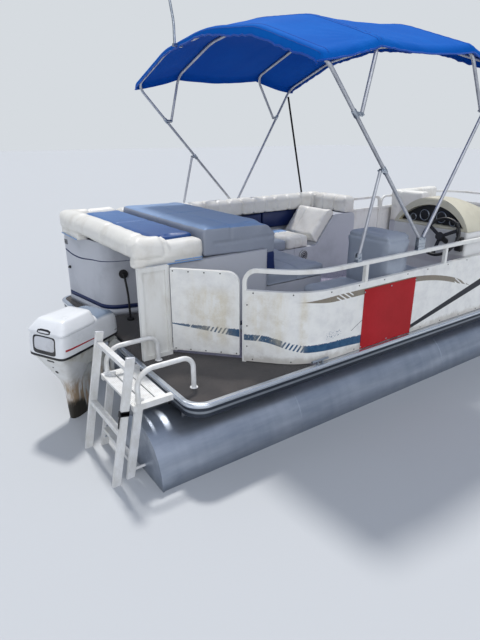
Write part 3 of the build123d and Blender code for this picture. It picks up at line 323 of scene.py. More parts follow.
def apronLook():
    # White paint that yellows and then turns to brown slime toward the waterline.
    shade = Shade("apronPaint")
    z = shade.axis(shade.spot(), "Z")
    runs = shade.noise(6.0, 5.0, stretch=(6.0, 6.0, 0.8), rough=0.6)
    patches = shade.noise(11.0, 4.0, rough=0.6)
    base = shade.mix(patches.rise(0.4, 0.75) * 0.5, tint(222, 223, 222), tint(190, 188, 178))
    brown = (runs.rise(0.35, 0.6) * z.rise(0.38, 0.24) + z.rise(0.22, 0.14) * 0.4).clip()
    base = shade.mix(brown * 0.85, base, tint(146, 116, 74))
    base = shade.mix((z + (patches - 0.5) * 0.12).rise(0.17, 0.10), base, tint(40, 36, 26))
    return shade.done(shade.tilt(patches, 0.0006), Base_Color=base, Roughness=brown * 0.25 + 0.3)


def plateLook():
    # Red paint, a shade paler where the sun has worked on it.
    shade = Shade("plateRed")
    cloud = shade.noise(5.0, 5.0, rough=0.65)
    base = shade.mix(cloud.rise(0.35, 0.75), tint(160, 8, 18), tint(174, 22, 32))
    shade.surface.inputs["Specular IOR Level"].default_value = 0.2
    return shade.done(shade.tilt(cloud, 0.0015, 0.6), Base_Color=base, Roughness=cloud * 0.15 + 0.3)


def cowlLook():
    # White gloss; the upward faces of the low forward top are painted blue grey as sky reflection and shade.
    shade = Shade("cowlPaint")
    spot = shade.spot()
    x, y, z = (shade.axis(spot, letter) for letter in "XYZ")
    along = (x - motor["kingX"]) * cos(motor["steered"]) + y * sin(motor["steered"])
    upward = shade.axis(shade.spot("Normal"), "Z").rise(0.25, 0.7)
    # Painted sky reflection and shade on the upward faces of the low forward top.
    paintedSkyShade = upward * along.rise(-0.064, -0.060) * z.rise(uz(0.20), uz(0.215))
    cloud = shade.noise(6.0, 4.0, rough=0.6)
    base = shade.mix(cloud.rise(0.4, 0.8) * 0.35, tint(230, 232, 234), tint(196, 198, 198))
    base = shade.mix(paintedSkyShade, base, tint(128, 142, 160))
    shade.surface.inputs["Coat Weight"].default_value = 0.25
    return shade.done(shade.tilt(cloud, 0.0004), Base_Color=base, Roughness=cloud * 0.12 + 0.2)


def skinLook(name, stainSpots, gateStripe=False):
    # Painted sheet in its own run and height: white, a broken blue stripe, stains, and on the long skins a brown
    # swoosh, a rising navy band and a thin dark line. A stain is a place along the sheet and its spread.
    shade = Shade(name)
    where = shade.spot("UV")
    along, up = shade.axis(where, "X"), shade.axis(where, "Y")
    rag = shade.noise(26, 4.0, where=where, rough=0.7)
    fine = shade.noise(75, 3.0, where=where, rough=0.7)
    streak = shade.noise(2.4, 5.0, where=where, stretch=(6.0, 1.0, 1.0), rough=0.6)
    mottle = shade.noise(9.0, 5.0, where=where, rough=0.65)
    white = shade.mix(mottle.rise(0.35, 0.75), tint(232, 232, 228), tint(216, 216, 214))
    if gateStripe:
        centre, half = along * -0.075 + 0.247, along * 0.05 + 0.004
    else:
        centre = 0.186 - along.rise(0.1, 0.45) * 0.072 - along.rise(0.45, 1.3) * 0.04
        half = along * 0.012 + 0.021
    ragged = (fine - 0.5) * 0.03
    stripe = up.between(centre - half, centre + half + ragged, 0.002)
    slash = ((along - up * 0.6) * 34).part().rise(0.42, 0.5)
    cut = slash * along.between(0.26, 0.40, 0.012) + (along - up * 0.6).between(-0.012, -0.004, 0.002)
    worn = fine.rise(0.60, 0.66) * along.rise(0.45, 0.2) * 0.8
    stripe = stripe * (1 - cut.clip()) * (1 - worn)
    if not gateStripe:
        stripe = stripe * along.rise(1.6, 1.1)
    cover = shade.mix(stripe, white, shade.mix(rag.rise(0.3, 0.7), tint(22, 68, 106), tint(52, 92, 124)))
    if not gateStripe:  # flakes, swoosh, band and thin line
        flakes = fine.rise(0.56, 0.60) * along.between(0.57, 0.70, 0.02) * up.between(0.165, 0.215, 0.012)
        cover = shade.mix(flakes, cover, tint(70, 96, 126))
        drop = (along - 1.35).most(0)
        middle = 0.452 - drop * drop * 0.225
        broad = along.rise(0.34, 0.64) * along.rise(2.28, 2.02) * 0.021
        broken = (along.between(0.64, 0.80, 0.005) + along.between(2.02, 2.2, 0.005)).clip()
        gaps = ((along + up * 1.6) * 21).part().rise(0.62, 0.66) * broken
        swoosh = up.between(middle - broad, middle + broad + (fine - 0.5) * 0.006, 0.0015) * (1 - gaps)
        swoosh = swoosh * along.between(0.345, 2.27, 0.002)
        cover = shade.mix(swoosh, cover, shade.mix(fine, tint(112, 104, 92), tint(146, 138, 124)))
        band = 0.118 + (along - 1.746) * 0.232
        thick = (along - 1.2) * 0.017 + 0.012
        navy = up.between(band - thick, band + thick, 0.0015) * along.between(1.25, 3.4, 0.01)
        cover = shade.mix(navy, cover, shade.mix(rag, tint(5, 8, 18), tint(14, 18, 34)))
        rise = 0.178 + (along - 0.805) * 0.57 - (along - 0.805) * (along - 0.805) * 0.25
        thread = up.between(rise - 0.0022, rise + 0.0022, 0.001) * along.between(0.805, 1.5, 0.002)
        cover = shade.mix(thread, cover, tint(26, 28, 34))
    stain = streak.rise(0.47, 0.68)
    heavy = 0.0
    for middle, spread in stainSpots:
        heavy = along.rise(middle - spread * 1.6, middle) * along.rise(middle + spread * 1.6, middle) + heavy
    broad = mottle.rise(0.38, 0.62) * 0.6 + streak.rise(0.40, 0.62) * 0.5
    share = (broad * heavy).clip() * up.rise(0.56, 0.46) * up.rise(0.04, 0.20) * 0.42 + stain * up.rise(0.2, 0.5) * 0.06
    cover = shade.mix(share.clip(), cover, tint(206, 192, 154))
    cover = shade.mix((fine.rise(0.5, 0.75) * share * 0.7).clip(), cover, tint(176, 156, 116))
    grime = (mottle * 0.9 + up.rise(0.10, 0.0) * 0.6).rise(0.55, 0.95) * 0.45
    cover = shade.mix(grime, cover, tint(150, 140, 122))
    normal = shade.tilt(mottle, 0.0012, 0.6)
    shade.surface.inputs["Specular IOR Level"].default_value = 0.3
    return shade.done(normal, Base_Color=cover, Roughness=share * 0.25 + 0.34)


def canopyLook(name, bright, dull):
    # Plain weave with slow changes of blue and soft folds across the boat.
    shade = Shade(name)
    weave = shade.noise(900, 1.0)
    cloud = shade.noise(2.5, 5.0, rough=0.6)
    folds = shade.noise(7.0, 4.0, stretch=(1.0, 0.35, 1.0), rough=0.55)
    base = shade.mix(cloud.rise(0.3, 0.8), bright, dull)
    normal = shade.tilt(folds + weave * 0.02, 0.012, 0.5)
    shade.surface.inputs["Specular IOR Level"].default_value = 0.1
    return shade.done(normal, Base_Color=base, Roughness=0.85)


looks = {
    "floatMetal": floatLook(),
    "frameMetal": brushed("frameMetal", tint(150, 152, 156), tint(84, 86, 90), 0.5, (6.0, 1.0, 1.0)),
    "trimMetal": brushed("trimMetal", tint(205, 211, 218), tint(150, 158, 168), 0.26, (0.6, 8.0, 8.0), depth=0.0001),
    "edgeRail": edgeLook(),
    "carpet": carpetLook(),
    "fenceWhite": finish("fenceWhite", tint(226, 226, 222), 0.38, grain=300, depth=0.0001, soil=tint(176, 168, 150),
                         soilShare=0.5, soilScale=5.0, stretch=(1.0, 1.0, 0.4)),
    "whiteVinyl": finish("whiteVinyl", tint(228, 226, 219), 0.42, soil=tint(178, 168, 150), soilShare=0.35,
                         soilScale=5.0),
    "greyVinyl": finish("greyVinyl", tint(150, 158, 170), 0.45, soil=tint(122, 130, 144), soilShare=0.5,
                        soilScale=4.0),
    "blueVinyl": bandLook(),
    "padVinyl": padLook(),
    "navyVinyl": finish("navyVinyl", tint(18, 36, 84), 0.42, soil=tint(34, 54, 100), soilShare=0.5),
    "chaiseVinyl": chaiseLook(),
    "paleBlueVinyl": finish("paleBlueVinyl", tint(118, 158, 208), 0.45, soil=tint(150, 178, 214), soilShare=0.5),
    "mouldedGrey": finish("mouldedGrey", tint(190, 193, 200), 0.48, grain=600, depth=0.0003, soil=tint(140, 144, 152),
                          soilShare=0.45, soilScale=2.5),
    "consoleWhite": finish("consoleWhite", tint(222, 222, 220), 0.3, soil=tint(180, 176, 168), soilShare=0.3,
                           coat=0.2),
    "hoodTan": finish("hoodTan", tint(210, 205, 184), 0.5, grain=700, depth=0.0004, soil=tint(160, 154, 134),
                      soilShare=0.4),
    "blackPlastic": finish("blackPlastic", tint(24, 24, 26), 0.42, soil=tint(52, 52, 54), soilShare=0.4),
    "tubeMetal": brushed("tubeMetal", tint(206, 208, 212), tint(168, 170, 176), 0.36, (1.0, 1.0, 1.0), scale=14.0,
                         metal=0.7),
    "webbing": finish("webbing", tint(18, 18, 22), 0.8, grain=1500, depth=0.0004, sheen=0.2, specular=0.2),
    "cowlPaint": cowlLook(),
    "panPaint": finish("panPaint", tint(212, 212, 206), 0.34, soil=tint(150, 136, 108), soilShare=0.6, soilScale=7.0,
                       stretch=(2.0, 2.0, 0.6)),
    "apronPaint": apronLook(),
    "legPaint": legLook(),
    "ladderMetal": brushed("ladderMetal", tint(236, 237, 238), tint(208, 207, 202), 0.46, (2.0, 2.0, 1.0), scale=9.0,
                           depth=0.0001, metal=0.15),
    "rubberBlack": finish("rubberBlack", tint(20, 20, 22), 0.6, soil=tint(50, 48, 46), soilShare=0.4),
    "plateRed": plateLook(),
    "skinPaint": skinLook("skinPaint", ((0.10, 0.09), (0.40, 0.03), (0.24, 0.05))),
    "gatePaint": skinLook("gatePaint", ((0.22, 0.13), (0.36, 0.09)), gateStripe=True),
    "canopyBlue": canopyLook("canopyBlue", tint(0, 88, 178), tint(4, 98, 188)),
    # The underside's copy of the blue is a little darker: painted shade.
    "canopyUnder": canopyLook("canopyUnder", tint(0, 74, 168), tint(2, 82, 176)),
    "canopyEdge": finish("canopyEdge", tint(8, 74, 168), 0.8, sheen=0.2, specular=0.2, soil=tint(20, 88, 184),
                         soilShare=0.5),
}
for name, colour in (("stripeRed", tint(170, 28, 40)), ("markBlack", tint(22, 22, 26)),
                     ("markPale", tint(206, 208, 212))):
    looks[name] = finish(name, colour, 0.35, soil=tint(110, 106, 100), soilShare=0.25, soilScale=9.0)

# The look of each CAD node; those that a piece of the scene replaces keep one as well
nodeLooks = {
    "pontoon_port": "floatMetal", "pontoon_starboard": "floatMetal", "pontoon_risers": "frameMetal",
    "cross_members": "frameMetal", "deck_board": "carpet", "deck_edge_rail": "edgeRail", "motor_pod": "floatMetal",
    "deck_cleats": "trimMetal", "fence_frame_starboard_aft": "fenceWhite", "fence_frame_starboard_bow": "fenceWhite",
    "fence_frame_port_aft": "fenceWhite", "fence_frame_port_bow": "fenceWhite", "stern_corner_panel": "fenceWhite",
    "stern_gate": "fenceWhite", "port_gate": "fenceWhite", "bow_gate": "fenceWhite", "lounge_base": "mouldedGrey",
    "bench_base": "mouldedGrey", "port_couch_base": "mouldedGrey", "chaise_base": "mouldedGrey",
    "speaker": "blackPlastic", "helm_seat_base": "mouldedGrey", "console_body": "consoleWhite",
    "console_hood": "hoodTan", "dash_panel": "blackPlastic", "steering_wheel": "blackPlastic",
    "steering_column": "blackPlastic", "bow_couch_bases": "mouldedGrey", "ladder_platform": "ladderMetal",
    "ladder_hoops": "ladderMetal", "folding_ladder": "ladderMetal", "bimini_bow_aft": "tubeMetal",
    "bimini_bow_fore": "tubeMetal", "bimini_second_bows": "tubeMetal", "bimini_struts": "tubeMetal",
    "bimini_fittings": "trimMetal", "bimini_straps": "webbing", "stern_light": "trimMetal",
    "rigging_boots": "rubberBlack", "clamp_bracket": "legPaint", "swivel_bracket": "legPaint",
    "drive_leg": "legPaint", "motor_pan": "panPaint", "motor_cowl": "cowlPaint", "propeller": "legPaint",
    "pad_band": "blueVinyl", "sun_pad": "greyVinyl", "aft_roll": "whiteVinyl", "couch_seats": "greyVinyl",
    "port_couch_panel": "navyVinyl", "port_couch_rolls": "whiteVinyl", "chaise_seat": "whiteVinyl",
    "chaise_back": "whiteVinyl", "helm_seat_back": "greyVinyl", "helm_seat_cushions": "greyVinyl",
    "bow_couch_seats": "whiteVinyl", "bow_couch_backs": "whiteVinyl", "fence_skins": "fenceWhite",
    "bimini_canopy": "navyVinyl", "rigging_cable": "rubberBlack",
}
for node, look in nodeLooks.items():
    data = nodes[node].data
    data.materials.clear()
    data.materials.append(looks[look])
print("materials set")


# Floor, backdrop light and lamps
studio = {"floorHalf": 60.0, "floorColour": tint(186, 189, 192), "backdrop": tint(214, 219, 224),
          "skyLow": tint(150, 160, 168), "skyHigh": tint(226, 236, 255), "skyFrom": -0.15, "skyTo": 0.6,
          "skyGlow": 0.62}
lamps = {
    "mainSun": {"toward": (-0.20, -0.46, -1.0), "energy": 2.5, "color": (1.0, 0.975, 0.94), "angle": radians(6)},
    "fillSun": {"toward": (0.42, 0.85, -0.5), "energy": 1.15, "color": (0.97, 0.97, 1.0), "angle": radians(70)},
}


def stagePlane():
    # A level square at the origin's height.
    mesh = bpy.data.meshes.new("floor")
    half = studio["floorHalf"]
    mesh.from_pydata([(-half, -half, 0), (half, -half, 0), (half, half, 0), (-half, half, 0)], [], [(0, 1, 2, 3)])
    floor = bpy.data.objects.new("floor", mesh)
    scene.collection.objects.link(floor)
    shade = Shade("floorPaint")
    mesh.materials.append(shade.done(Base_Color=studio["floorColour"], Roughness=0.9))


def sky():
    # Pale where the camera looks, a soft gradient for light and for reflections.
    world = bpy.data.worlds.new("studio")
    scene.world = world
    world.use_nodes = True
    tree = world.node_tree
    tree.nodes.clear()
    path = tree.nodes.new("ShaderNodeLightPath")
    place = tree.nodes.new("ShaderNodeTexCoord")
    split = tree.nodes.new("ShaderNodeSeparateXYZ")
    ramp = tree.nodes.new("ShaderNodeMapRange")
    blend = tree.nodes.new("ShaderNodeMix")
    blend.data_type = "RGBA"
    glow = tree.nodes.new("ShaderNodeBackground")
    plain = tree.nodes.new("ShaderNodeBackground")
    choose = tree.nodes.new("ShaderNodeMixShader")
    out = tree.nodes.new("ShaderNodeOutputWorld")
    tree.links.new(place.outputs["Generated"], split.inputs[0])
    tree.links.new(split.outputs["Z"], ramp.inputs["Value"])
    ramp.inputs["From Min"].default_value = studio["skyFrom"]
    ramp.inputs["From Max"].default_value = studio["skyTo"]
    tree.links.new(ramp.outputs[0], blend.inputs[0])
    blend.inputs[6].default_value = studio["skyLow"]
    blend.inputs[7].default_value = studio["skyHigh"]
    tree.links.new(blend.outputs[2], glow.inputs["Color"])
    glow.inputs["Strength"].default_value = studio["skyGlow"]
    plain.inputs["Color"].default_value = studio["backdrop"]
    plain.inputs["Strength"].default_value = 1.0
    tree.links.new(path.outputs["Is Camera Ray"], choose.inputs[0])
    tree.links.new(glow.outputs[0], choose.inputs[1])
    tree.links.new(plain.outputs[0], choose.inputs[2])
    tree.links.new(choose.outputs[0], out.inputs["Surface"])


def lamp(name, toward, **settings):
    # A distant lamp that shines along toward.
    data = bpy.data.lights.new(name, "SUN")
    for key, value in settings.items():
        setattr(data, key, value)
    holder = bpy.data.objects.new(name, data)
    holder.rotation_euler = Vector(toward).to_track_quat("-Z", "Y").to_euler()
    scene.collection.objects.link(holder)


stagePlane()
sky()
for name, plan in lamps.items():
    lamp(name, **plan)
print("floor and light set")


# Mesh helpers
def place(obj, body, slot, look):
    # Puts an object in the scene, in its look and on its body; the slot is not used.
    scene.collection.objects.link(obj)
    obj.data.materials.append(looks[look])
    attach(obj, body)
    return obj


def meshOf(name, points, faces, smooth=True, uv=None):
    # A mesh of points and faces, with a place on the sheet for each point where uv is given.
    mesh = bpy.data.meshes.new(name)
    mesh.from_pydata(np.asarray(points, float).reshape(-1, 3).tolist(), [], [tuple(face) for face in faces])
    if uv is not None:
        layer = mesh.uv_layers.new(name="UVMap")
        corner = np.zeros(len(mesh.loops), int)
        mesh.loops.foreach_get("vertex_index", corner)
        layer.data.foreach_set("uv", np.asarray(uv, float).reshape(-1, 2)[corner].ravel())
    mesh.polygons.foreach_set("use_smooth", [smooth] * len(mesh.polygons))
    mesh.update()
    return mesh


def cells(rows, columns, wrapRows=False, wrapColumns=False, start=0):
    # The four corners of every cell of a grid of points.
    i = np.arange(rows if wrapRows else rows - 1)
    j = np.arange(columns if wrapColumns else columns - 1)
    i, j = np.meshgrid(i, j, indexing="ij")
    ii, jj = (i + 1) % rows, (j + 1) % columns
    quads = np.stack([i * columns + j, ii * columns + j, ii * columns + jj, i * columns + jj], -1)
    return quads.reshape(-1, 4) + start


class Heap:
    # Points and faces of several shapes that become one mesh.
    def __init__(self):
        self.points, self.faces, self.total = [], [], 0

    def add(self, points, faces):
        # One more shape, its faces numbered on from those before.
        points = np.asarray(points, float).reshape(-1, 3)
        self.points.append(points)
        self.faces += [tuple(int(v) + self.total for v in face) for face in faces]
        self.total += len(points)

    def tube(self, path, radius, sides=12, close=False, flat=1.0, upward=(0, 0, 1)):
        # A round section carried along a path, turned as little as it can be; flat squashes it one way.
        path = np.asarray(path, float)
        ahead = np.gradient(path, axis=0) if not close else np.roll(path, -1, 0) - np.roll(path, 1, 0)
        ahead /= np.linalg.norm(ahead, axis=1)[:, None]
        first = np.cross(upward, ahead[0])
        if np.linalg.norm(first) < 1e-3:
            first = np.cross((1, 0, 0), ahead[0])
        across = [first / np.linalg.norm(first)]
        for way in ahead[1:]:
            turned = across[-1] - way * (across[-1] @ way)
            across.append(turned / np.linalg.norm(turned))
        across = np.array(across)
        over = np.cross(ahead, across)
        angle = np.linspace(0, 2 * pi, sides, endpoint=False)
        radius = np.broadcast_to(np.asarray(radius, float), (len(path),))[:, None, None]
        ring = path[:, None] + radius * (across[:, None] * np.cos(angle)[None, :, None]
                                         + flat * over[:, None] * np.sin(angle)[None, :, None])
        faces = [tuple(cell[::-1]) for cell in cells(len(path), sides, close, True)]
        if not close:
            last = (len(path) - 1) * sides
            faces += [tuple(range(sides)), tuple(range(last + sides - 1, last - 1, -1))]
        self.add(ring, faces)

    def box(self, low, high, edge=0.001):
        # A block with chamfered edges: three points at each corner, one for each face that meets there.
        low, high = np.array(low, float), np.array(high, float)
        middle, half = (low + high) / 2, (high - low) / 2
        edge = min(edge, *(half * 0.9))
        corners = []
        for signs in product((-1, 1), repeat=3):
            for axis in range(3):
                shape = half - edge
                shape[axis] = half[axis]
                corners.append(shape * signs)

        def number(a, b, c, axis):
            # The place in the list of the point of a corner that lies on the face across axis.
            return ((a * 2 + b) * 2 + c) * 3 + axis

        faces = []
        for axis in range(3):
            u, v = (axis + 1) % 3, (axis + 2) % 3
            for end in (0, 1):
                loop = []
                for du, dv in ((0, 0), (1, 0), (1, 1), (0, 1)):
                    key = [0, 0, 0]
                    key[axis], key[u], key[v] = end, du, dv
                    loop.append(number(*key, axis))
                faces.append(tuple(loop if end else loop[::-1]))
            for du in (0, 1):
                for dv in (0, 1):
                    loop = []
                    for end, kind in ((0, u), (0, v), (1, v), (1, u)):
                        key = [0, 0, 0]
                        key[axis], key[u], key[v] = end, du, dv
                        loop.append(number(*key, kind))
                    faces.append(tuple(loop if du == dv else loop[::-1]))
        for a, b, c in product((0, 1), repeat=3):
            loop = tuple(number(a, b, c, axis) for axis in range(3))
            faces.append(loop if (a + b + c) % 2 else loop[::-1])
        self.add(np.array(corners) + middle, faces)

    def knob(self, centre, way, radius, height, sides=14, dome=0.35):
        # A low round head that stands on a surface along way.
        way = np.array(way, float) / np.linalg.norm(way)
        centre = np.array(centre, float)
        steps = [(1.0, 0.0), (1.0, 1 - dome), (0.8, 1 - dome * 0.3), (0.45, 1.0)]
        path = [centre + way * height * up for _, up in steps]
        side = np.cross(way, (0, 0, 1) if abs(way[2]) < 0.9 else (1, 0, 0))
        side /= np.linalg.norm(side)
        other = np.cross(way, side)
        angle = np.linspace(0, 2 * pi, sides, endpoint=False)
        ring = np.array([p + radius * share * (side * np.cos(angle)[:, None] + other * np.sin(angle)[:, None])
                         for p, (share, _) in zip(path, steps)])
        faces = [tuple(cell) for cell in cells(len(steps), sides, False, True)]
        faces += [tuple(range((len(steps) - 1) * sides, len(steps) * sides)), tuple(range(sides - 1, -1, -1))]
        self.add(ring, faces)

    def shell(self, outer, inner):
        # A closed skin between two grids of points.
        rows, columns = outer.shape[:2]
        number = np.arange(rows * columns).reshape(rows, columns)
        rim = np.concatenate([number[0, :-1], number[:-1, -1], number[-1, :0:-1], number[:0:-1, 0]])
        grid = cells(rows, columns)
        walls = [(a, b, b + rows * columns, a + rows * columns) for a, b in zip(rim, np.roll(rim, -1))]
        self.add(np.concatenate([outer.reshape(-1, 3), inner.reshape(-1, 3)]),
                 [*grid[:, ::-1], *(grid + rows * columns), *walls])

    def stack(self, rings, wrap=False):
        # Level rings of equal length joined one over the next, capped unless they close on themselves.
        rings = np.asarray(rings, float)
        rows, count = rings.shape[:2]
        faces = [tuple(face) for face in cells(rows, count, wrap, True)[:, ::-1]]
        if not wrap:
            faces += [tuple(range(count))[::-1], tuple(range((rows - 1) * count, rows * count))]
        self.add(rings, faces)

    def bend(self, change):
        # Every point moved by one change.
        self.points = [change(points) for points in self.points]
        return self

    def make(self, name, body, slot, look, smooth=True):
        # One object of all the shapes, its faces turned outward.
        mesh = meshOf(name, np.concatenate(self.points), self.faces, smooth)
        shaped = bmesh.new()
        shaped.from_mesh(mesh)
        bmesh.ops.recalc_face_normals(shaped, faces=shaped.faces)
        shaped.to_mesh(mesh)
        shaped.free()
        return place(bpy.data.objects.new(name, mesh), body, slot, look)


def smoothEdges(obj, angle=40):
    # Flat shading across sharp edges of a smooth mesh.
    obj.data.set_sharp_from_angle(angle=radians(angle))
    return obj


# Soft pieces from the CAD solids: size of the mesh's cells, rounds of easing, share of firmness, how far air moves a
# point at most, depth of seams, and height and closeness of wrinkles
softPlan = {"voxel": 0.011, "rounds": 6, "fill": 0.6, "cap": 0.008, "groove": 0.009,
            "wrinkle": 0.0012, "wrinkleScale": 7.0, "form": None}
# The air in the cushions, as the cloth step takes it
airPlan = {"pressure": 4, "frames": 20, "quality": 4, "mass": 0.3, "stretch": 20, "bend": 1.5, "restingBelow": 0.006}
softOrders = []
alongX, alongY, alongZ = 0, 1, 2


def softened(node, name, look, slot, seams, **changes):
    # Notes one soft piece. A seam is an axis, its place and its width, and limits on other axes.
    softOrders.append({**softPlan, "node": node, "name": name, "look": look, "slot": slot, "seams": seams, **changes})


def pointsOf(mesh, normals=False):
    # All points of a mesh, or their normals, in one array.
    flat = np.zeros(len(mesh.vertices) * 3)
    if normals:
        mesh.vertex_normals.foreach_get("vector", flat)
    else:
        mesh.vertices.foreach_get("co", flat)
    return flat.reshape(-1, 3)


def plump(points, plan, top, radius):
    # The upper edges over a plan outline drawn in to a larger radius.
    plan = np.array(plan)
    nearest, inward = np.full(len(points), 9.0), np.zeros((len(points), 2))
    for first, second in zip(plan, np.roll(plan, -1, 0)):
        run = second - first
        share = np.clip((points[:, :2] - first) @ run / (run @ run), 0, 1)
        apart = points[:, :2] - first - share[:, None] * run
        length = np.linalg.norm(apart, axis=1)
        closer = length < nearest
        nearest[closer] = length[closer]
        inward[closer] = apart[closer] / np.maximum(length[closer], 1e-6)[:, None]
    a, b = np.maximum(radius - nearest, 0), np.maximum(radius - (top - points[:, 2]), 0)
    reach = np.hypot(a, b)
    shrink = np.where((a > 0) & (b > 0) & (reach > radius), radius / np.maximum(reach, 1e-9), 1.0)
    moved = points.copy()
    moved[:, :2] += inward * (a * (1 - shrink))[:, None]
    moved[:, 2] -= b * (1 - shrink)
    return moved


rollCorners = np.array([corner for corner in nodes["aft_roll"].bound_box])
rollBox = (rollCorners[:, 0].min(), rollCorners[:, 0].max(), rollCorners[:, 1].min(), rollCorners[:, 1].max(), 0.19)
aftRoll = {"top": uz(0.85), "foot": uz(0.70), "blockEnd": iy(0.83) - 0.02 + 0.19, "stepAt": sx(0.285),
           "stepLength": 0.045, "stepDown": 0.042, "radius": 0.088, "squarer": 0.062}


def aftRollForm(points):
    # A round roll over the aft edge; to starboard it ends over a lower, squarer block.
    top, foot, down = aftRoll["top"], aftRoll["foot"], aftRoll["stepDown"]
    side = points[:, 1] < aftRoll["blockEnd"]
    step = np.clip((points[:, 0] - aftRoll["stepAt"]) / aftRoll["stepLength"], 0, 1)
    step = np.where(side, step * step * (3 - 2 * step), 0.0)
    lowered = foot + (points[:, 2] - foot) * (1 - step * down / (top - foot))
    points[:, 2] = np.where(points[:, 2] > foot, lowered, points[:, 2])
    aft, front, starboard, port, deep = rollBox
    right, left = starboard + deep * 0.75, port - deep * 0.75
    plan = [(aft, starboard), (front, starboard), (front, right), (aft + deep, right), (aft + deep, left),
            (front, left), (front, port), (aft, port)]
    return plump(points, plan, top - down * step, aftRoll["radius"] - aftRoll["squarer"] * step)


couchRoll = {"top": uz(0.83), "radius": 0.074, "aft": sx(0.606), "fore": sx(3.23), "armAft": sx(3.06), "deep": 0.17}


def couchRollForm(points):
    # A round roll along the fence and back inboard over the arm.
    wall, inner = fenceLine - 0.027, fenceLine - 0.727
    aft, fore, armAft, deep = (couchRoll[key] for key in ("aft", "fore", "armAft", "deep"))
    plan = [(aft, wall), (fore, wall), (fore, inner), (armAft, inner), (armAft, wall - deep), (aft, wall - deep)]
    return plump(points, plan, couchRoll["top"], couchRoll["radius"])


def evened(order):
    # The solid remeshed evenly, eased, and drawn in a little, so that pressure can fill it.
    holder = bpy.data.objects.new(order["name"], nodes[order["node"]].data.copy())
    scene.collection.objects.link(holder)
    remesh = holder.modifiers.new("even", "REMESH")
    remesh.mode = "VOXEL"
    remesh.voxel_size = order["voxel"]
    smooth = holder.modifiers.new("ease", "SMOOTH")
    smooth.factor = 0.5
    smooth.iterations = order["rounds"]
    mesh = bpy.data.meshes.new_from_object(holder.evaluated_get(bpy.context.evaluated_depsgraph_get()))
    bpy.data.objects.remove(holder)
    mesh.name = order["name"]
    order["drawn"] = pointsOf(mesh) - pointsOf(mesh, True) * 0.003
    if order["form"]:
        order["drawn"] = order["form"](order["drawn"])
    mesh.vertices.foreach_set("co", order["drawn"].ravel())
    mesh.update()
    return mesh


def inflate(orders):
    # Air pressure swells every pad at once; what rests on the base stays flat, and no point goes beyond its cap.
    holders = []
    for order in orders:
        holder = bpy.data.objects.new(order["name"] + "Swell", order["mesh"])
        scene.collection.objects.link(holder)
        low = order["drawn"][:, 2].min() + airPlan["restingBelow"]
        resting = np.flatnonzero(order["drawn"][:, 2] < low)
        holder.vertex_groups.new(name="rest").add([int(v) for v in resting], 1.0, "REPLACE")
        cloth = holder.modifiers.new("swell", "CLOTH")
        cloth.settings.quality = airPlan["quality"]
        cloth.settings.mass = airPlan["mass"]
        cloth.settings.tension_stiffness = cloth.settings.compression_stiffness = airPlan["stretch"]
        cloth.settings.bending_stiffness = airPlan["bend"]
        cloth.settings.use_pressure = True
        cloth.settings.uniform_pressure_force = airPlan["pressure"]
        cloth.settings.vertex_group_mass = "rest"
        cloth.settings.effector_weights.gravity = 0
        cloth.point_cache.frame_start, cloth.point_cache.frame_end = 1, airPlan["frames"]
        holders.append(holder)
    for step in range(1, airPlan["frames"] + 1):
        scene.frame_set(step)
    evaluated = bpy.context.evaluated_depsgraph_get()
    for order, holder in zip(orders, holders):
        swollen = bpy.data.meshes.new_from_object(holder.evaluated_get(evaluated))
        move = pointsOf(swollen) - order["drawn"]
        far = np.linalg.norm(move, axis=1)
        limit = order["cap"] + 0.003
        move *= (limit * np.tanh(far / limit) / np.maximum(far, 1e-9))[:, None]
        order["drawn"] = order["drawn"] + move
        bpy.data.objects.remove(holder)
        bpy.data.meshes.remove(swollen)
    scene.frame_set(1)


def sewn(order):
    # Seams drawn in, small puckers beside them and shallow wrinkles between.
    mesh = order["mesh"]
    mesh.vertices.foreach_set("co", order["drawn"].ravel())
    mesh.update()
    points, normal = order["drawn"], pointsOf(mesh, True)
    nearest, sunk = np.full(len(points), 1.0), np.zeros(len(points))
    for axis, value, width, *limits in order["seams"]:
        apart = np.abs(points[:, axis] - value)
        for limitAxis, low, high in limits:
            apart = np.where((points[:, limitAxis] > low) & (points[:, limitAxis] < high), apart, 1.0)
        nearest = np.minimum(nearest, apart)
        sunk = np.maximum(sunk, np.exp(-(apart / (width * 1.5)) ** 2))
    k = order["wrinkleScale"]
    x, y, z = points.T
    ripple = (np.sin(x * k * 1.9 + 2 * np.sin(y * k)) * np.sin(y * k * 2.3 + z * k * 3)
              + 0.5 * np.sin(x * k * 5.1 + z * k * 4.3) * np.sin(y * k * 4.7))
    pucker = np.exp(-nearest / 0.035) * np.sin((x + y * 1.3 + z * 0.7) * 130) * 0.0014
    level = 0.0
    offset = level - 0.0015 - sunk * order["groove"] + ripple * order["wrinkle"] + pucker
    mesh.vertices.foreach_set("co", (points + normal * offset[:, None]).ravel())
    mesh.polygons.foreach_set("use_smooth", [True] * len(mesh.polygons))
    mesh.materials.clear()
    mesh.update()
    piece = place(bpy.data.objects.new(order["name"], mesh), "hull", order["slot"], order["look"])
    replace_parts(piece, order["node"])


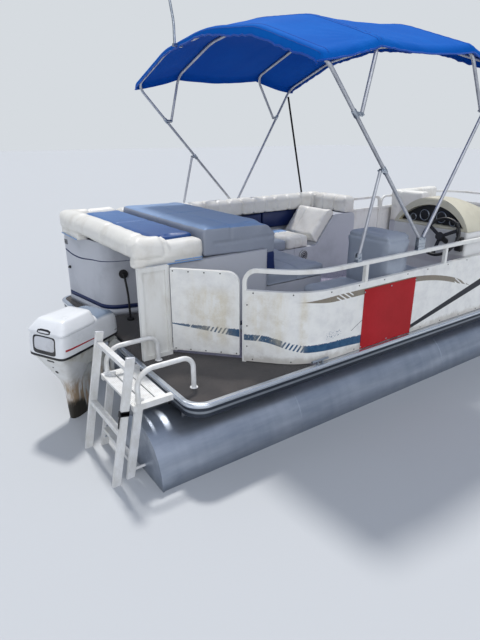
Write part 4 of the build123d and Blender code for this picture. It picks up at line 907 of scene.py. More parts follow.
# Fence skins: thin sheets along the fence lines, with the painted graphics in their material
def planPath(points, radii, step=0.02):
    # Points along a line in plan whose inner corners are rounded, and the length to each.
    points = [np.array(p, float) for p in points]
    track = [points[0]]
    for before, corner, after, radius in zip(points, points[1:], points[2:], radii):
        first, second = corner - before, after - corner
        first, second = first / np.linalg.norm(first), second / np.linalg.norm(second)
        turn = atan2(first[0] * second[1] - first[1] * second[0], first @ second)
        reach = radius * tan(abs(turn) / 2)
        side = 1 if turn > 0 else -1
        centre = corner - first * reach + side * radius * np.array([-first[1], first[0]])
        begin = atan2(*(corner - first * reach - centre)[::-1])
        for share in np.linspace(0, 1, 24):
            angle = begin + turn * share
            track.append(centre + radius * np.array([cos(angle), sin(angle)]))
    track.append(points[-1])
    track = np.array(track)
    runs = np.concatenate([[0], np.cumsum(np.linalg.norm(np.diff(track, axis=0), axis=1))])
    even = np.linspace(0, runs[-1], max(3, int(runs[-1] / step)))
    return np.stack([np.interp(even, runs, track[:, k]) for k in (0, 1)], 1), even


def sideOf(track, side):
    # Level normals of a plan line: to its right where side is 1.
    ahead = np.gradient(track, axis=0)
    ahead /= np.linalg.norm(ahead, axis=1)[:, None]
    return np.stack([ahead[:, 1], -ahead[:, 0]], 1) * side


gateHinge = np.array([sx(0.270), -0.515])
gateLatch = np.array([sx(0.640), -0.918])
gateWay = (gateLatch - gateHinge) / np.linalg.norm(gateLatch - gateHinge)
bowLine, bowHalf = bowX - fenceInset, 0.36
turnPoint = gateLatch + gateWay * ((gateLatch[1] + fenceLine) / -gateWay[1])
skinPlan = {"inner": 0.0152, "outer": 0.018, "low": uz(0.0082), "high": uz(0.5198)}
# Each skin's line in plan, the radii of its corners, the side that faces out, and where its graphics start
skinRuns = {
    "starboardAft": ([gateLatch, (turnPoint[0], -fenceLine), (sx(3.3), -fenceLine)], [0.47], 1, 0.0),
    "starboardBow": ([(sx(3.33), -fenceLine), (bowLine, -fenceLine), (bowLine, -bowHalf)], [0.42], 1, 2.81),
    "portAft": ([(sx(0.23), fenceLine), (sx(3.88), fenceLine)], [], -1, -0.30),
    "portBow": ([(sx(4.56), fenceLine), (bowLine, fenceLine), (bowLine, bowHalf)], [0.42], -1, 4.03),
}


def skinSheet(heap, track, lengths, side, low, high):
    # A closed thin sheet on the outer face of the tubes; it gives each point's length along and height over the deck.
    out, inner, outer = sideOf(track, side), skinPlan["inner"], skinPlan["outer"]
    low, high = np.broadcast_to(low, lengths.shape), np.broadcast_to(high, lengths.shape)
    ring = np.stack([np.column_stack([track + out * offset, z])
                     for offset, z in ((inner, low), (outer, low), (outer, high), (inner, high))], 1)
    faces = cells(len(track), 4, False, True)
    first = heap.total
    heap.add(ring, faces if side > 0 else faces[:, ::-1])
    heap.faces += [tuple(first + k for k in range(4))[::side], tuple(heap.total - 1 - k for k in range(4))[::side]]
    up = np.stack([low, low, high, high], 1) - deckZ
    return np.stack([np.broadcast_to(lengths[:, None], up.shape), up], -1).reshape(-1, 2)


heap, uvs, skinTracks = Heap(), [], {}
for name, (points, radii, side, start) in skinRuns.items():
    track, lengths = planPath(points, radii)
    skinTracks[name] = (track, lengths + start, sideOf(track, side))
    uvs.append(skinSheet(heap, track, lengths + start, side, skinPlan["low"], skinPlan["high"]))
mesh = meshOf("fenceSkins", np.concatenate(heap.points), heap.faces, True, np.concatenate(uvs))
fenceSkins = place(bpy.data.objects.new("fenceSkins", mesh), "hull", "fence_white", "skinPaint")
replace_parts(fenceSkins, "fence_skins")
smoothEdges(fenceSkins, 35)

gatePlan = {"fromPost": 0.033, "low": uz(0.046), "high": uz(0.639), "corner": 0.085}
gateStart, gateEnd = gateHinge + gateWay * gatePlan["fromPost"], gateLatch - gateWay * gatePlan["fromPost"]


def gateSheet():
    # A cover sheet on the stern gate's outer face; an arc rounds its top corner at the latch.
    length, corner = np.linalg.norm(gateEnd - gateStart), gatePlan["corner"]
    close = np.linspace(0, 0.09, 12)
    along = np.unique(np.concatenate([np.linspace(0, length, 24), close, length - close]))
    track = gateStart + (gateEnd - gateStart) * (along / length)[:, None]
    top, apart = np.full(len(along), gatePlan["high"]), length - along
    inside = apart < corner
    top[inside] = gatePlan["high"] - corner + np.sqrt(np.maximum(corner ** 2 - (corner - apart[inside]) ** 2, 0))
    heap = Heap()
    uv = skinSheet(heap, track, along, 1, gatePlan["low"], top)
    mesh = meshOf("sternGateSheet", np.concatenate(heap.points), heap.faces, True, uv)
    smoothEdges(place(bpy.data.objects.new("sternGateSheet", mesh), "stern_gate_body", "fence_white", "gatePaint"), 35)


gateSheet()
print("skins made")

# Canopy: one sheet stretched over the four bows, its edges turned down. Lengths are from the stern and over the deck.
# A row of the hem is its place and how far outside the bow's line it runs.
canopyRows = np.array([[0.918, 1.900], [0.95, 1.905], [1.385, 2.010], [2.34, 2.045], [2.80, 1.950], [2.836, 1.942]])
canopy = {
    "bows": (0.95, 1.385, 2.34, 2.80), "outside": 0.0225, "inside": 0.0140, "rows": 120, "columns": 140,
    "sag": (0.008, 0.024, 0.010), "pull": (0.006, 0.020, 0.008), "hemAft": 0.938, "hemFore": 2.812,
    "aftOutside": [(0.9255, -0.034), (0.9250, -0.020), (0.9252, -0.006), (0.9270, 0.008), (0.9310, 0.018)],
    "aftInside": [(0.9335, -0.034), (0.9332, -0.020), (0.9334, -0.006), (0.9345, 0.004), (0.9370, 0.0105)],
    "foreOutside": [(2.8190, 0.018), (2.8230, 0.008), (2.8248, -0.006), (2.8250, -0.020), (2.8245, -0.034)],
    "foreInside": [(2.8130, 0.0105), (2.8155, 0.004), (2.8166, -0.006), (2.8168, -0.020), (2.8165, -0.034)],
}
# Half an arch: its knee, its shoulder and the rise of each over the knee, as the bows have them
arch = {"knee": 1.235, "shoulder": 0.62, "shoulderRise": 0.215, "crownRise": 0.285, "below": -0.031}


def archOf(away, steps):
    # Half of a bow's arch, from its crown to below the knee, at a distance outside the tube's line: Y and rise over
    # the knee at even steps.
    knee, shoulder, shoulderRise = arch["knee"], arch["shoulder"], arch["shoulderRise"]
    flank, slope = atan2(shoulderRise, knee - shoulder), atan2(0.07, shoulder)
    faces = [(1, 0), (sin(flank), cos(flank)), (sin(slope), cos(slope)), (-sin(slope), cos(slope))]
    corners = [(knee, 0.0), (shoulder, shoulderRise), (0.0, arch["crownRise"])]
    spots = []
    for (y, z), (y0, z0), (y1, z1) in zip(corners, faces, faces[1:]):
        share = away / (1 + y0 * y1 + z0 * z1)
        spots.append((y + share * (y0 + y1), z + share * (z0 + z1)))
    mirrored = (-spots[1][0], spots[1][1])
    track, _ = planPath([mirrored, spots[2], spots[1], spots[0], (spots[0][0], arch["below"])],
                        [1.5 + away, 0.8 + away, 0.05 + away * 0.7], 0.004)
    track = track[track[:, 0].searchsorted(0.0):] if track[0, 0] < 0 else track
    runs = np.concatenate([[0], np.cumsum(np.linalg.norm(np.diff(track, axis=0), axis=1))])
    return np.stack([np.interp(steps * runs[-1], runs, track[:, k]) for k in (0, 1)], 1)


def canopySurface(away):
    # Points of the sheet at a distance outside the line of the bows, from aft to fore and from starboard to port.
    spans, main = canopyRows[:, 0], np.array(canopy["bows"])
    x = np.unique(np.concatenate([np.linspace(spans[0] + 0.001, spans[-1] - 0.001, canopy["rows"] - 8), main,
                                  [0.953, 1.388, 2.337, 2.797]]))
    edge = np.interp(x, canopyRows[:, 0], canopyRows[:, 1])
    k = np.clip(np.searchsorted(main, x) - 1, 0, 2)
    share = np.clip((x - main[k]) / (main[k + 1] - main[k]), 0, 1)
    t = np.linspace(-1, 1, canopy["columns"])
    half = archOf(away, np.abs(t))
    y = np.where(t < 0, -half[:, 0], half[:, 0])
    # The cloth hangs a little between the bows and sinks toward its middle line less than toward its flanks.
    sag = np.sin(pi * share) * np.array(canopy["sag"])[k]
    z = uz(edge)[:, None] + half[None, :, 1] - sag[:, None] * (0.45 + 0.55 * np.abs(t)[None] ** 1.5)
    knee = np.exp(-((np.abs(t) - 0.93) / 0.06) ** 2)[None]
    pull = np.sin(pi * share)[:, None] * knee * np.array(canopy["pull"])[k][:, None]
    # Gathers fan out from the starboard knee of the aft bows, and fine ones follow every bow.
    low = np.hypot((x[:, None] - 1.385) * 1.2, (t[None] + 0.93) * 1.3)
    around = np.arctan2(t[None] + 0.93, x[:, None] - 1.36)
    fan = np.sin(around * 13 + x[:, None] * 6) * np.exp(-(low / 0.34) ** 2) * 0.0075
    near = np.min(np.abs(x[:, None] - main[None]), axis=1)
    gather = np.sin(t[None] * 95 + np.sin(x[:, None] * 9) * 3) * np.exp(-near / 0.05)[:, None] * 0.0010
    wave = np.sin(x[:, None] * 11 + t[None] * 7) * np.sin(x[:, None] * 7 - t[None] * 5) * 0.0035
    free = np.sin(pi * share)[:, None] ** 0.5
    z = z - np.abs(fan) * (0.3 + 0.7 * free) + gather * 0.6 - np.abs(wave) * free
    y = y[None] - np.sign(t)[None] * (pull + np.abs(fan) * knee * 0.5)
    return np.stack([np.broadcast_to(sx(x)[:, None], z.shape), y, z], -1)


def hem(places):
    # Rows that turn the sheet down over the aft or the fore bow, puckered along the edge.
    t = np.linspace(-1, 1, canopy["columns"])
    rows = []
    for x, away in places:
        # To port the edge is drawn up tight under the tube; to starboard it hangs loose.
        slack = np.interp(t, [-1, -0.75, -0.2, 0.05, 1], [0.8, 1.15, 1.0, 0.42, 0.42])[:, None]
        half = archOf(away, np.abs(t))
        half = np.where(away < 0, archOf(0.0, np.abs(t)) * (1 - slack) + half * slack, half)
        rise = np.interp(x, canopyRows[:, 0], canopyRows[:, 1])
        loose = max(0.0, 0.0225 - away) / 0.05
        pucker = (np.sin(t * 61 + np.sin(t * 17) * 2) * 0.0032 + np.sin(t * 143) * 0.0012) * loose
        rows.append(np.column_stack([sx(x) + pucker * 0.5 - 0.001 * loose, np.where(t < 0, -half[:, 0], half[:, 0]),
                                     uz(rise) + half[:, 1] + pucker]))
    return np.array(rows)


def hemmed(side):
    # The outside or the inside of the sheet with the hem's rows at both ends.
    main = canopySurface(canopy[side.lower()])
    main = main[(main[:, 0, 0] > sx(canopy["hemAft"])) & (main[:, 0, 0] < sx(canopy["hemFore"]))]
    return np.concatenate([hem(canopy["aft" + side]), main, hem(canopy["fore" + side])])


over, under = hemmed("Outside"), hemmed("Inside")
rows, columns = over.shape[:2]
heap = Heap()
heap.add(over, cells(rows, columns)[:, ::-1])
heap.add(under, cells(rows, columns))
number = np.arange(rows * columns).reshape(rows, columns)
rim = np.concatenate([number[0], number[1:, -1], number[-1, -2::-1], number[-2:0:-1, 0]])
rimFaces = [(int(b), int(a), int(a) + rows * columns, int(b) + rows * columns) for a, b in zip(rim, np.roll(rim, -1))]
heap.faces += rimFaces
mesh = meshOf("canopySheet", np.concatenate(heap.points), heap.faces, True)
canopySheet = bpy.data.objects.new("canopySheet", mesh)
place(canopySheet, "hull", "canvas_blue", "canopyBlue")
mesh.materials.append(looks["canopyUnder"])
index = np.zeros(len(mesh.polygons), int)
quads = (rows - 1) * (columns - 1)
index[quads:2 * quads] = 1
mesh.polygons.foreach_set("material_index", index)
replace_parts(canopySheet, "bimini_canopy")


smoothEdges(canopySheet, 50)
print("canopy made")

# Cushions and rolls
aboveBlock = (alongZ, uz(0.715), 9)
softened("aft_roll", "aftRoll", "whiteVinyl", "white_vinyl", [
    (alongX, aftRoll["stepAt"], 0.007, (alongY, -2, -0.3), aboveBlock),
    (alongY, -0.33, 0.008, (alongX, -9, sx(0.245)), aboveBlock),
    (alongY, 0.16, 0.008, (alongX, -9, sx(0.25)), aboveBlock),
    (alongY, 0.74, 0.008, (alongX, -9, sx(0.25)), aboveBlock),
    (alongX, sx(0.33), 0.008, (alongY, 0.9, 2), aboveBlock),
    (alongZ, uz(0.704), 0.006, (alongX, -9, sx(0.27))),
], cap=0.009, groove=0.010, wrinkle=0.0016, form=aftRollForm)
softened("pad_band", "padBand", "blueVinyl", "blue_vinyl", [(alongY, 0.36, 0.005)], cap=0.006)
softened("sun_pad", "sunPad", "padVinyl", "grey_vinyl", [
    (alongY, 0.33, 0.006), (alongX, sx(0.86), 0.004, (alongZ, 1.2, 9)),
    (alongZ, uz(0.735), 0.004, (alongX, sx(0.7), 9)), (alongZ, uz(0.61), 0.004, (alongX, sx(1.2), 9)),
], cap=0.010, voxel=softPlan["voxel"] * 1.15)
for node, name, look, slot, seams in (
    ("couch_seats", "couchSeats", "greyVinyl", "grey_vinyl", [(alongX, sx(1.55), 0.005), (alongY, 0.7, 0.005)]),
    ("port_couch_panel", "couchPanel", "navyVinyl", "navy_vinyl", [(alongX, sx(1.5), 0.005), (alongX, sx(1.8), 0.005)]),
    ("port_couch_rolls", "couchRolls", "whiteVinyl", "white_vinyl",
     [(alongX, sx(x), 0.008, (alongY, 1.0, 2))
      for x in (0.92, 1.08, 1.39, 1.55, 1.71, 2.02, 2.18, 2.34, 2.68, 2.87, 3.05)]
     + [(alongY, y, 0.008, (alongX, sx(3.04), 9)) for y in (0.70, 0.88)]),
    ("chaise_seat", "chaiseSeat", "chaiseVinyl", "white_vinyl", [(alongX, sx(2.33), 0.005), (alongX, sx(2.43), 0.005)]),
    ("chaise_back", "chaiseBack", "whiteVinyl", "white_vinyl", [(alongY, 0.85, 0.005)]),
    ("helm_seat_back", "helmSeatBack", "greyVinyl", "grey_vinyl", [(alongZ, uz(0.76), 0.005)]),
    ("helm_seat_cushions", "helmSeatCushions", "greyVinyl", "grey_vinyl", [(alongZ, uz(0.37), 0.004)]),
    ("bow_couch_seats", "bowCouchSeats", "whiteVinyl", "white_vinyl", [(alongX, sx(x), 0.005) for x in (5.15, 5.4)]),
    ("bow_couch_backs", "bowCouchBacks", "whiteVinyl", "white_vinyl",
     [(alongX, sx(x), 0.005, (alongZ, uz(0.5), 9)) for x in (4.95, 5.1, 5.25, 5.4)]),
):
    extra = {"form": couchRollForm, "groove": 0.015, "wrinkle": 0.0018} if name == "couchRolls" else {}
    softened(node, name, look, slot, seams, **extra)
for order in softOrders:
    order["mesh"] = evened(order)
inflate(softOrders)
for order in softOrders:
    sewn(order)
print("soft pieces made")

# Rigging loom: from the boot on the slanting wall of the motor's recess, out and down to the deck's boot. A point of
# its route is its way out of the wall, ahead and up.
loom = {"radius": 0.009, "alongWall": 0.16, "height": uz(0.37), "route": (
    (0.0166, 0, 0), (0.070, 0, 0), (0.112, 0.006, -0.058), (0.134, 0.014, -0.145), (0.146, 0.016, -0.235),
    (0.146, 0.016, -0.3497))}
aftX, recessHalf = sx(0.08), 0.36
wallA, wallB = Vector((aftX + 0.11, recessHalf + 0.13, 0)), Vector((aftX + 0.56, recessHalf, 0))
wallWay = (wallB - wallA).normalized()
wallOut = Vector((wallWay.y, -wallWay.x, 0))
bootSpot = wallA + wallWay * loom["alongWall"]
bootSpot.z = loom["height"]
route = [bootSpot + wallOut * out + Vector((ahead, 0, up)) for out, ahead, up in loom["route"]]
curve = bpy.data.curves.new("riggingLoom", "CURVE")
curve.dimensions = "3D"
curve.bevel_depth = loom["radius"]
curve.bevel_resolution = 4
curve.use_fill_caps = True
spline = curve.splines.new("NURBS")
spline.points.add(len(route) - 1)
for point, spot in zip(spline.points, route):
    point.co = (*spot, 1)
spline.order_u = 3
spline.use_endpoint_u = True
spline.resolution_u = 16
riggingLoom = place(bpy.data.objects.new("riggingLoom", curve), "hull", "rubber_black", "rubberBlack")
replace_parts(riggingLoom, "rigging_cable")
tuple(route[0])
print("loom made")

# Canopy seams at the bows, rolled edges and the blank patch
patch = {"from": 1.000, "to": 1.095, "across": 0.365, "half": 0.042}
seamPlan = {"beside": 0.022, "seam": 0.0016, "endRoll": 0.0062, "sideRoll": 0.0052}
seams = Heap()
for x in canopy["bows"]:
    for beside in (-seamPlan["beside"], seamPlan["beside"]):
        line = over[np.abs(over[:, 0, 0] - sx(x + beside)).argmin()]
        seams.tube(line[2:-2] + (0, 0, 0.0006), seamPlan["seam"], 5)
for row in (over[0], over[-1]):
    seams.tube(row - (0, 0, 0.004), seamPlan["endRoll"], 8)
for column in (0, -1):
    seams.tube(over[:, column] + (0, 0, 0.002), seamPlan["sideRoll"], 8)
seams.make("canopySeams", "hull", "canvas_blue", "canopyEdge")
lengthwise = np.flatnonzero((under[:, 0, 0] > sx(patch["from"])) & (under[:, 0, 0] < sx(patch["to"])))
crosswise = np.flatnonzero(np.abs(under[lengthwise[0], :, 1] - patch["across"]) < patch["half"])
inner = under[np.ix_(lengthwise, crosswise)]
label = Heap()
label.shell(inner - (0, 0, 0.0006), inner - (0, 0, 0.0018))
label.make("canopyPatch", "hull", "canvas_blue", "markPale")

# Lounge wall: pinstripe, louvre, fitting, foot band and plinth
baseFront, basePort, baseSide = sx(1.196), fenceLine - 0.015 - 0.012, iy(0.83)
recessX = sx(0.64)
wallTrack, wallRuns = planPath([(baseFront, basePort), (aftX, basePort), (aftX + 0.11, recessHalf + 0.13),
                                (recessX, recessHalf), (recessX, -recessHalf), (aftX + 0.06, -recessHalf - 0.02),
                                (aftX, baseSide), (baseFront, baseSide)],
                               [0.06, 0.17, 0.09, 0.09, 0.03, 0.03], 0.012)
wallOutward = sideOf(wallTrack, -1)
if wallOutward[0] @ np.array([0, 1.0]) < 0:
    wallOutward = -wallOutward


def wallRibbon(heap, first, last, low, high, lift):
    # A thin band on the lounge wall between two runs; low and high may change along it.
    inside = (wallRuns >= first) & (wallRuns <= last)
    track, out = wallTrack[inside], wallOutward[inside]
    low, high = np.broadcast_to(low, wallRuns.shape)[inside], np.broadcast_to(high, wallRuns.shape)[inside]
    outer, inner = (np.stack([np.column_stack([track + out * away, z]) for z in (low, high)], 1)
                    for away in (lift, 0.0002))
    heap.shell(outer, inner)


wallTrim = {"stripe": uz(0.482), "dip": 0.030, "climb": 0.03, "louvres": 4, "louvreTop": 0.581, "louvreApart": 0.011,
            "fitting": 0.014}
portRun = (baseFront - aftX) - 0.02
# The pinstripe dips in the middle of the wall, climbs at its port end and thins out to starboard.
dip = wallTrim["dip"] * np.exp(-((wallRuns - portRun - 0.30) / 0.22) ** 2)
line = wallTrim["stripe"] - dip + wallTrim["climb"] * np.clip((portRun + 0.15 - wallRuns) / 0.2, 0, 1)
pinHalf = np.interp(wallRuns - portRun, [-0.08, 0.1, 0.45, 0.95], [0.008, 0.008, 0.0055, 0.0015])
pin = Heap()
wallRibbon(pin, portRun - 0.08, portRun + 0.95, line - pinHalf, line + pinHalf, 0.0008)
pin.make("wallLine", "hull", "navy_vinyl", "navyVinyl")
# A band's name, slot, look, low and high edge and thickness
for name, slot, look, low, high, lift in (("wallFootBand", "navy_vinyl", "navyVinyl", 0.060, 0.098, 0.0015),
                                          ("wallPlinth", "moulded_grey", "mouldedGrey", 0.0005, 0.058, 0.004)):
    band = Heap()
    wallRibbon(band, portRun - 0.9, wallRuns[-1] - 0.05, uz(low), uz(high), lift)
    band.make(name, "hull", slot, look)


def wallSpot(run, z):
    # A spot on the lounge wall and its way out.
    k = np.abs(wallRuns - run).argmin()
    return np.array([*wallTrack[k], z]), np.array([*wallOutward[k], 0.0])


louvre = Heap()
for step in range(wallTrim["louvres"]):
    down = step * wallTrim["louvreApart"]
    wallRibbon(louvre, portRun + 0.02, portRun + 0.10, uz(0.575 - down), uz(wallTrim["louvreTop"] - down), 0.003)
spot, out = wallSpot(portRun + 0.10, uz(0.33))
louvre.knob(spot, out, wallTrim["fitting"], 0.012)
louvre.knob(spot + out * 0.01, out, 0.006, 0.014)
louvre.make("wallLouvre", "hull", "black_plastic", "blackPlastic")
print("canopy seams and wall trim made")

# Folding top: collars, jaws and bolts where its tubes meet, and the brackets on the fence
mountX, fenceTop, poleY = 2.040, 0.67, halfBeam - 0.060
aftLeg = [(mountX - 0.024, fenceTop + 0.090), (0.950, 1.905)]
foreLeg = [(mountX + 0.024, fenceTop + 0.090), (2.800, 1.950)]
# A collar's leg and height, and the place of the bolt that its jaw holds
collars = ((aftLeg, 1.262, (1.508, 1.262)), (aftLeg, 1.605, (1.285, 1.600)), (foreLeg, 1.655, (2.570, 1.650)))
topJoints = {"collar": 0.0172, "collarEnd": 0.0150, "collarHalf": 0.020, "jaw": 0.0125, "jawApart": 0.0135,
             "boltHeight": 0.006, "boltSides": 6, "footBolt": 0.0075}


def onLeg(first, second, height):
    # The place at a height on the straight leg between two places.
    share = (height - first[1]) / (second[1] - first[1])
    return np.array([first[0] + share * (second[0] - first[0]), height])


joints = Heap()
for side in (-1, 1):
    y = side * poleY

    def spot(x, z, across=0.0):
        # A point on this side's tubes.
        return np.array([sx(x), y + across, uz(z)])

    for leg, height, (x, z) in collars:
        centre = onLeg(*leg, height)
        way = np.array(leg[1]) - leg[0]
        way /= np.linalg.norm(way)
        collar, end, half = topJoints["collar"], topJoints["collarEnd"], topJoints["collarHalf"]
        joints.tube([spot(*(centre + way * out)) for out in (-0.026, -half, half, 0.026)],
                    [end, collar, collar, end], 18)
        reach = np.array([x, z]) - centre
        for across in (-topJoints["jawApart"], topJoints["jawApart"]):
            joints.tube([spot(*(centre + reach * share), across) for share in (0.0, 0.5, 1.0)], topJoints["jaw"], 10,
                        flat=0.16, upward=(0, 1, 0))
        for share, size in ((1.0, 0.0065), (0.45, 0.0050)):
            for across in (-1, 1):
                joints.knob(spot(*(centre + reach * share), across * 0.0150), (0, across, 0), size,
                            topJoints["boltHeight"], topJoints["boltSides"], 0.2)
    for x, half, top in ((mountX, 0.040, 0.062), (1.365, 0.018, 0.030)):
        joints.box((sx(x) - half - 0.006, y - 0.018, uz(fenceTop) + 0.0003),
                   (sx(x) + half + 0.006, y + 0.018, uz(fenceTop) + 0.005), 0.001)
        for across in (-0.0165, 0.0145):
            joints.box((sx(x) - half, y + across, uz(fenceTop) + 0.004),
                       (sx(x) + half, y + across + 0.002, uz(fenceTop) + top + 0.030), 0.0008)
    for x, z in ((mountX - 0.024, fenceTop + 0.086), (mountX + 0.024, fenceTop + 0.086), (1.365, fenceTop + 0.030)):
        for across in (-1, 1):
            joints.knob(spot(x, z, across * 0.0165), (0, across, 0), topJoints["footBolt"], topJoints["boltHeight"],
                        topJoints["boltSides"], 0.2)
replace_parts(smoothEdges(joints.make("topFittings", "hull", "trim_metal", "trimMetal"), 40), "bimini_fittings")

# Fence screws and the blank plate on the starboard skin
screwPlan = {"apart": 0.262, "radius": 0.0048, "height": 0.003, "sides": 10, "lift": 0.0178}
platePlan = {"from": 0.896, "to": 1.492, "low": uz(0.012), "high": uz(0.465), "outer": 0.0225, "inner": 0.0183,
             "buckle": 0.0016}


def skinSpot(name, run, z, lift):
    # A spot on a fence skin and its way out.
    track, lengths, out = skinTracks[name]
    k = np.abs(lengths - run).argmin()
    return np.array([*(track[k] + out[k] * lift), z]), np.array([*out[k], 0.0])


def screw(heap, spot, way):
    # A low round screw head.
    heap.knob(spot, way, screwPlan["radius"], screwPlan["height"], screwPlan["sides"])


screws = Heap()
for name, (track, lengths, out) in skinTracks.items():
    marks = [(run, z) for run in np.arange(lengths[0] + 0.06, lengths[-1] - 0.03, screwPlan["apart"])
             for z in (uz(0.505), uz(0.024))]
    marks += [(run, z) for run in (lengths[0] + 0.012, lengths[-1] - 0.012) for z in np.linspace(uz(0.12), uz(0.42), 3)]
    for run, z in marks:
        screw(screws, *skinSpot(name, run, z, screwPlan["lift"]))
screws.make("fenceScrews", "hull", "trim_metal", "markBlack")
gateOut = np.array([gateWay[1], -gateWay[0]])
gateScrews = Heap()
for share in np.linspace(0.04, 0.96, 5):
    spot = gateStart + (gateEnd - gateStart) * share + gateOut * screwPlan["lift"]
    for z in (uz(0.625) - (0.012 if share > 0.8 else 0), uz(0.058)):
        if share < 0.9 or z < 0.7:
            screw(gateScrews, (*spot, z), (*gateOut, 0))
gateScrews.make("gateScrews", "stern_gate_body", "trim_metal", "markBlack")
track, lengths, out = skinTracks["starboardAft"]
span = (lengths >= platePlan["from"]) & (lengths <= platePlan["to"])
line, away = track[span], out[span]
buckle = platePlan["buckle"] * np.sin(np.linspace(0, 7, len(line)))[:, None]
plate = Heap()
plate.shell(*(np.stack([np.column_stack([line + away * lift, np.full(len(line), z)])
                        for z in np.linspace(platePlan["low"], platePlan["high"], 8)], 1)
              for lift in (platePlan["outer"] + buckle, platePlan["inner"])))
smoothEdges(plate.make("hullPlate", "hull", "fence_white", "plateRed"), 40)
rivets = Heap()
for run in (0.915, 1.19, 1.473):
    for z in (uz(0.03), uz(0.447)):
        spot, way = skinSpot("starboardAft", run, z, 0.0235)
        rivets.knob(spot, way, 0.006, 0.003, 12)
rivets.make("plateRivets", "hull", "trim_metal", "trimMetal")
print("fence fittings made")

# Motor: shaped straight ahead, then turned with the steered motor
def steered(points):
    # Points turned about the kingpin.
    points = np.array(points, float)
    x, y, turn = points[..., 0] - motor["kingX"], points[..., 1].copy(), motor["steered"]
    points[..., 0] = motor["kingX"] + x * cos(turn) - y * sin(turn)
    points[..., 1] = x * sin(turn) + y * cos(turn)
    return points


def oblong(x0, x1, half, z, power, narrow, count=112):
    # A level oblong ring with rounded corners that narrows toward the bow: the larger its power, the squarer.
    angle = np.linspace(0, 2 * pi, count, endpoint=False) + pi / count
    c, w = np.cos(angle), np.sin(angle)
    share = 0.5 + 0.5 * np.sign(c) * np.abs(c) ** (2 / power)
    y = half * np.sign(w) * np.abs(w) ** (2 / power) * (1 - narrow * share)
    return np.column_stack([sx(x0) + (x1 - x0) * share, y, np.full(count, uz(z))])


# A level ring of the cowl is its height over the deck, aft end, fore end and half the width. A patch is its two sides,
# its low and high edge and its thickness; a stripe is its ends, low edge at each, high edge at each and thickness.
cowlPlan = {
    "power": 9.0, "narrow": 0.1,
    "body": ((0.0725, -0.570, 0.030, 0.168), (0.110, -0.5695, 0.030, 0.1695), (0.160, -0.566, 0.029, 0.169),
             (0.200, -0.559, 0.022, 0.167), (0.228, -0.549, 0.010, 0.161), (0.246, -0.535, -0.008, 0.152),
             (0.258, -0.515, -0.034, 0.138), (0.266, -0.490, -0.064, 0.118), (0.271, -0.450, -0.108, 0.087),
             (0.273, -0.380, -0.180, 0.03)),
    "crown": ((0.222, -0.5555, -0.200, 0.1650), (0.228, -0.5580, -0.198, 0.1700), (0.238, -0.5575, -0.198, 0.1700),
              (0.244, -0.5540, -0.199, 0.1670), (0.298, -0.5050, -0.203, 0.1290), (0.306, -0.4960, -0.206, 0.1210),
              (0.311, -0.4800, -0.214, 0.1090), (0.3135, -0.4400, -0.245, 0.0800), (0.3145, -0.3800, -0.300, 0.0300)),
    "darkPatch": (-0.104, 0.104, 0.084, 0.214, 0.0012), "handleRecessShade": (-0.060, 0.060, 0.229, 0.259, 0.0012),
    "blankPlate": (-0.094, 0.090, 0.112, 0.206, 0.0020), "blankTop": (-0.048, 0.048, 0.238, 0.248, 0.0030),
    "sideMark": (-0.03, 0.0, 0.10, 0.10, 0.104, 0.104, 0.001),
    "stripe": (-0.535, -0.190, 0.118, 0.116, 0.132, 0.121, 0.0009),
}
# The apron under the pan: rings as the cowl's, with how square each is, and the points of a rib on each side
apronPlan = {
    "narrow": 0.25, "ribRadii": (0.0038, 0.0038, 0.002),
    "rings": ((0.058, -0.5615, -0.200, 0.148, 7.0), (0.048, -0.5605, -0.200, 0.146, 7.0),
              (-0.020, -0.524, -0.215, 0.128, 6.0), (-0.090, -0.486, -0.232, 0.104, 5.0),
              (-0.140, -0.460, -0.245, 0.084, 4.0), (-0.185, -0.442, -0.255, 0.066, 3.2),
              (-0.230, -0.430, -0.250, 0.054, 2.8), (-0.300, -0.424, -0.246, 0.047, 2.6),
              (-0.420, -0.420, -0.244, 0.043, 2.6), (-0.560, -0.410, -0.244, 0.038, 2.6)),
    "rib": ((-0.330, 0.1135, 0.030), (-0.326, 0.0945, -0.050), (-0.322, 0.0800, -0.104)),
}
cowl = Heap()
power, narrow = cowlPlan["power"], cowlPlan["narrow"]
for part in ("body", "crown"):
    cowl.stack([oblong(x0, x1, half, z, power, narrow) for z, x0, x1, half in cowlPlan[part]])
cowlShell = cowl.bend(steered).make("cowlShell", "outboard", "motor_white", "cowlPaint")
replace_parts(cowlShell, "motor_cowl")
smoothEdges(cowlShell, 28)


def aftPatch(heap, y0, y1, z0, z1, lift, part="body", corner=0.006):
    # A thin patch on the aft face of the cowl's body or crown, its outline rounded.
    y, z = np.meshgrid(np.linspace(y0, y1, 16), np.linspace(z0, z1, 12), indexing="ij")
    middle, half = np.array([(y0 + y1) / 2, (z0 + z1) / 2]), np.array([y1 - y0, z1 - z0]) / 2
    a, b = (y - middle[0]) / half[0], (z - middle[1]) / half[1]
    shrink = 1 - corner / half.min() * np.abs(a * b) ** 6
    y, z = middle[0] + a * half[0] * shrink, middle[1] + b * half[1] * shrink
    heights, aftEnds = np.array(cowlPlan[part])[:, :2].T
    outer = np.stack([sx(np.interp(z, heights, aftEnds)) - lift, y, uz(z)], -1)
    heap.shell(outer, outer + (lift + 0.002, 0, 0))


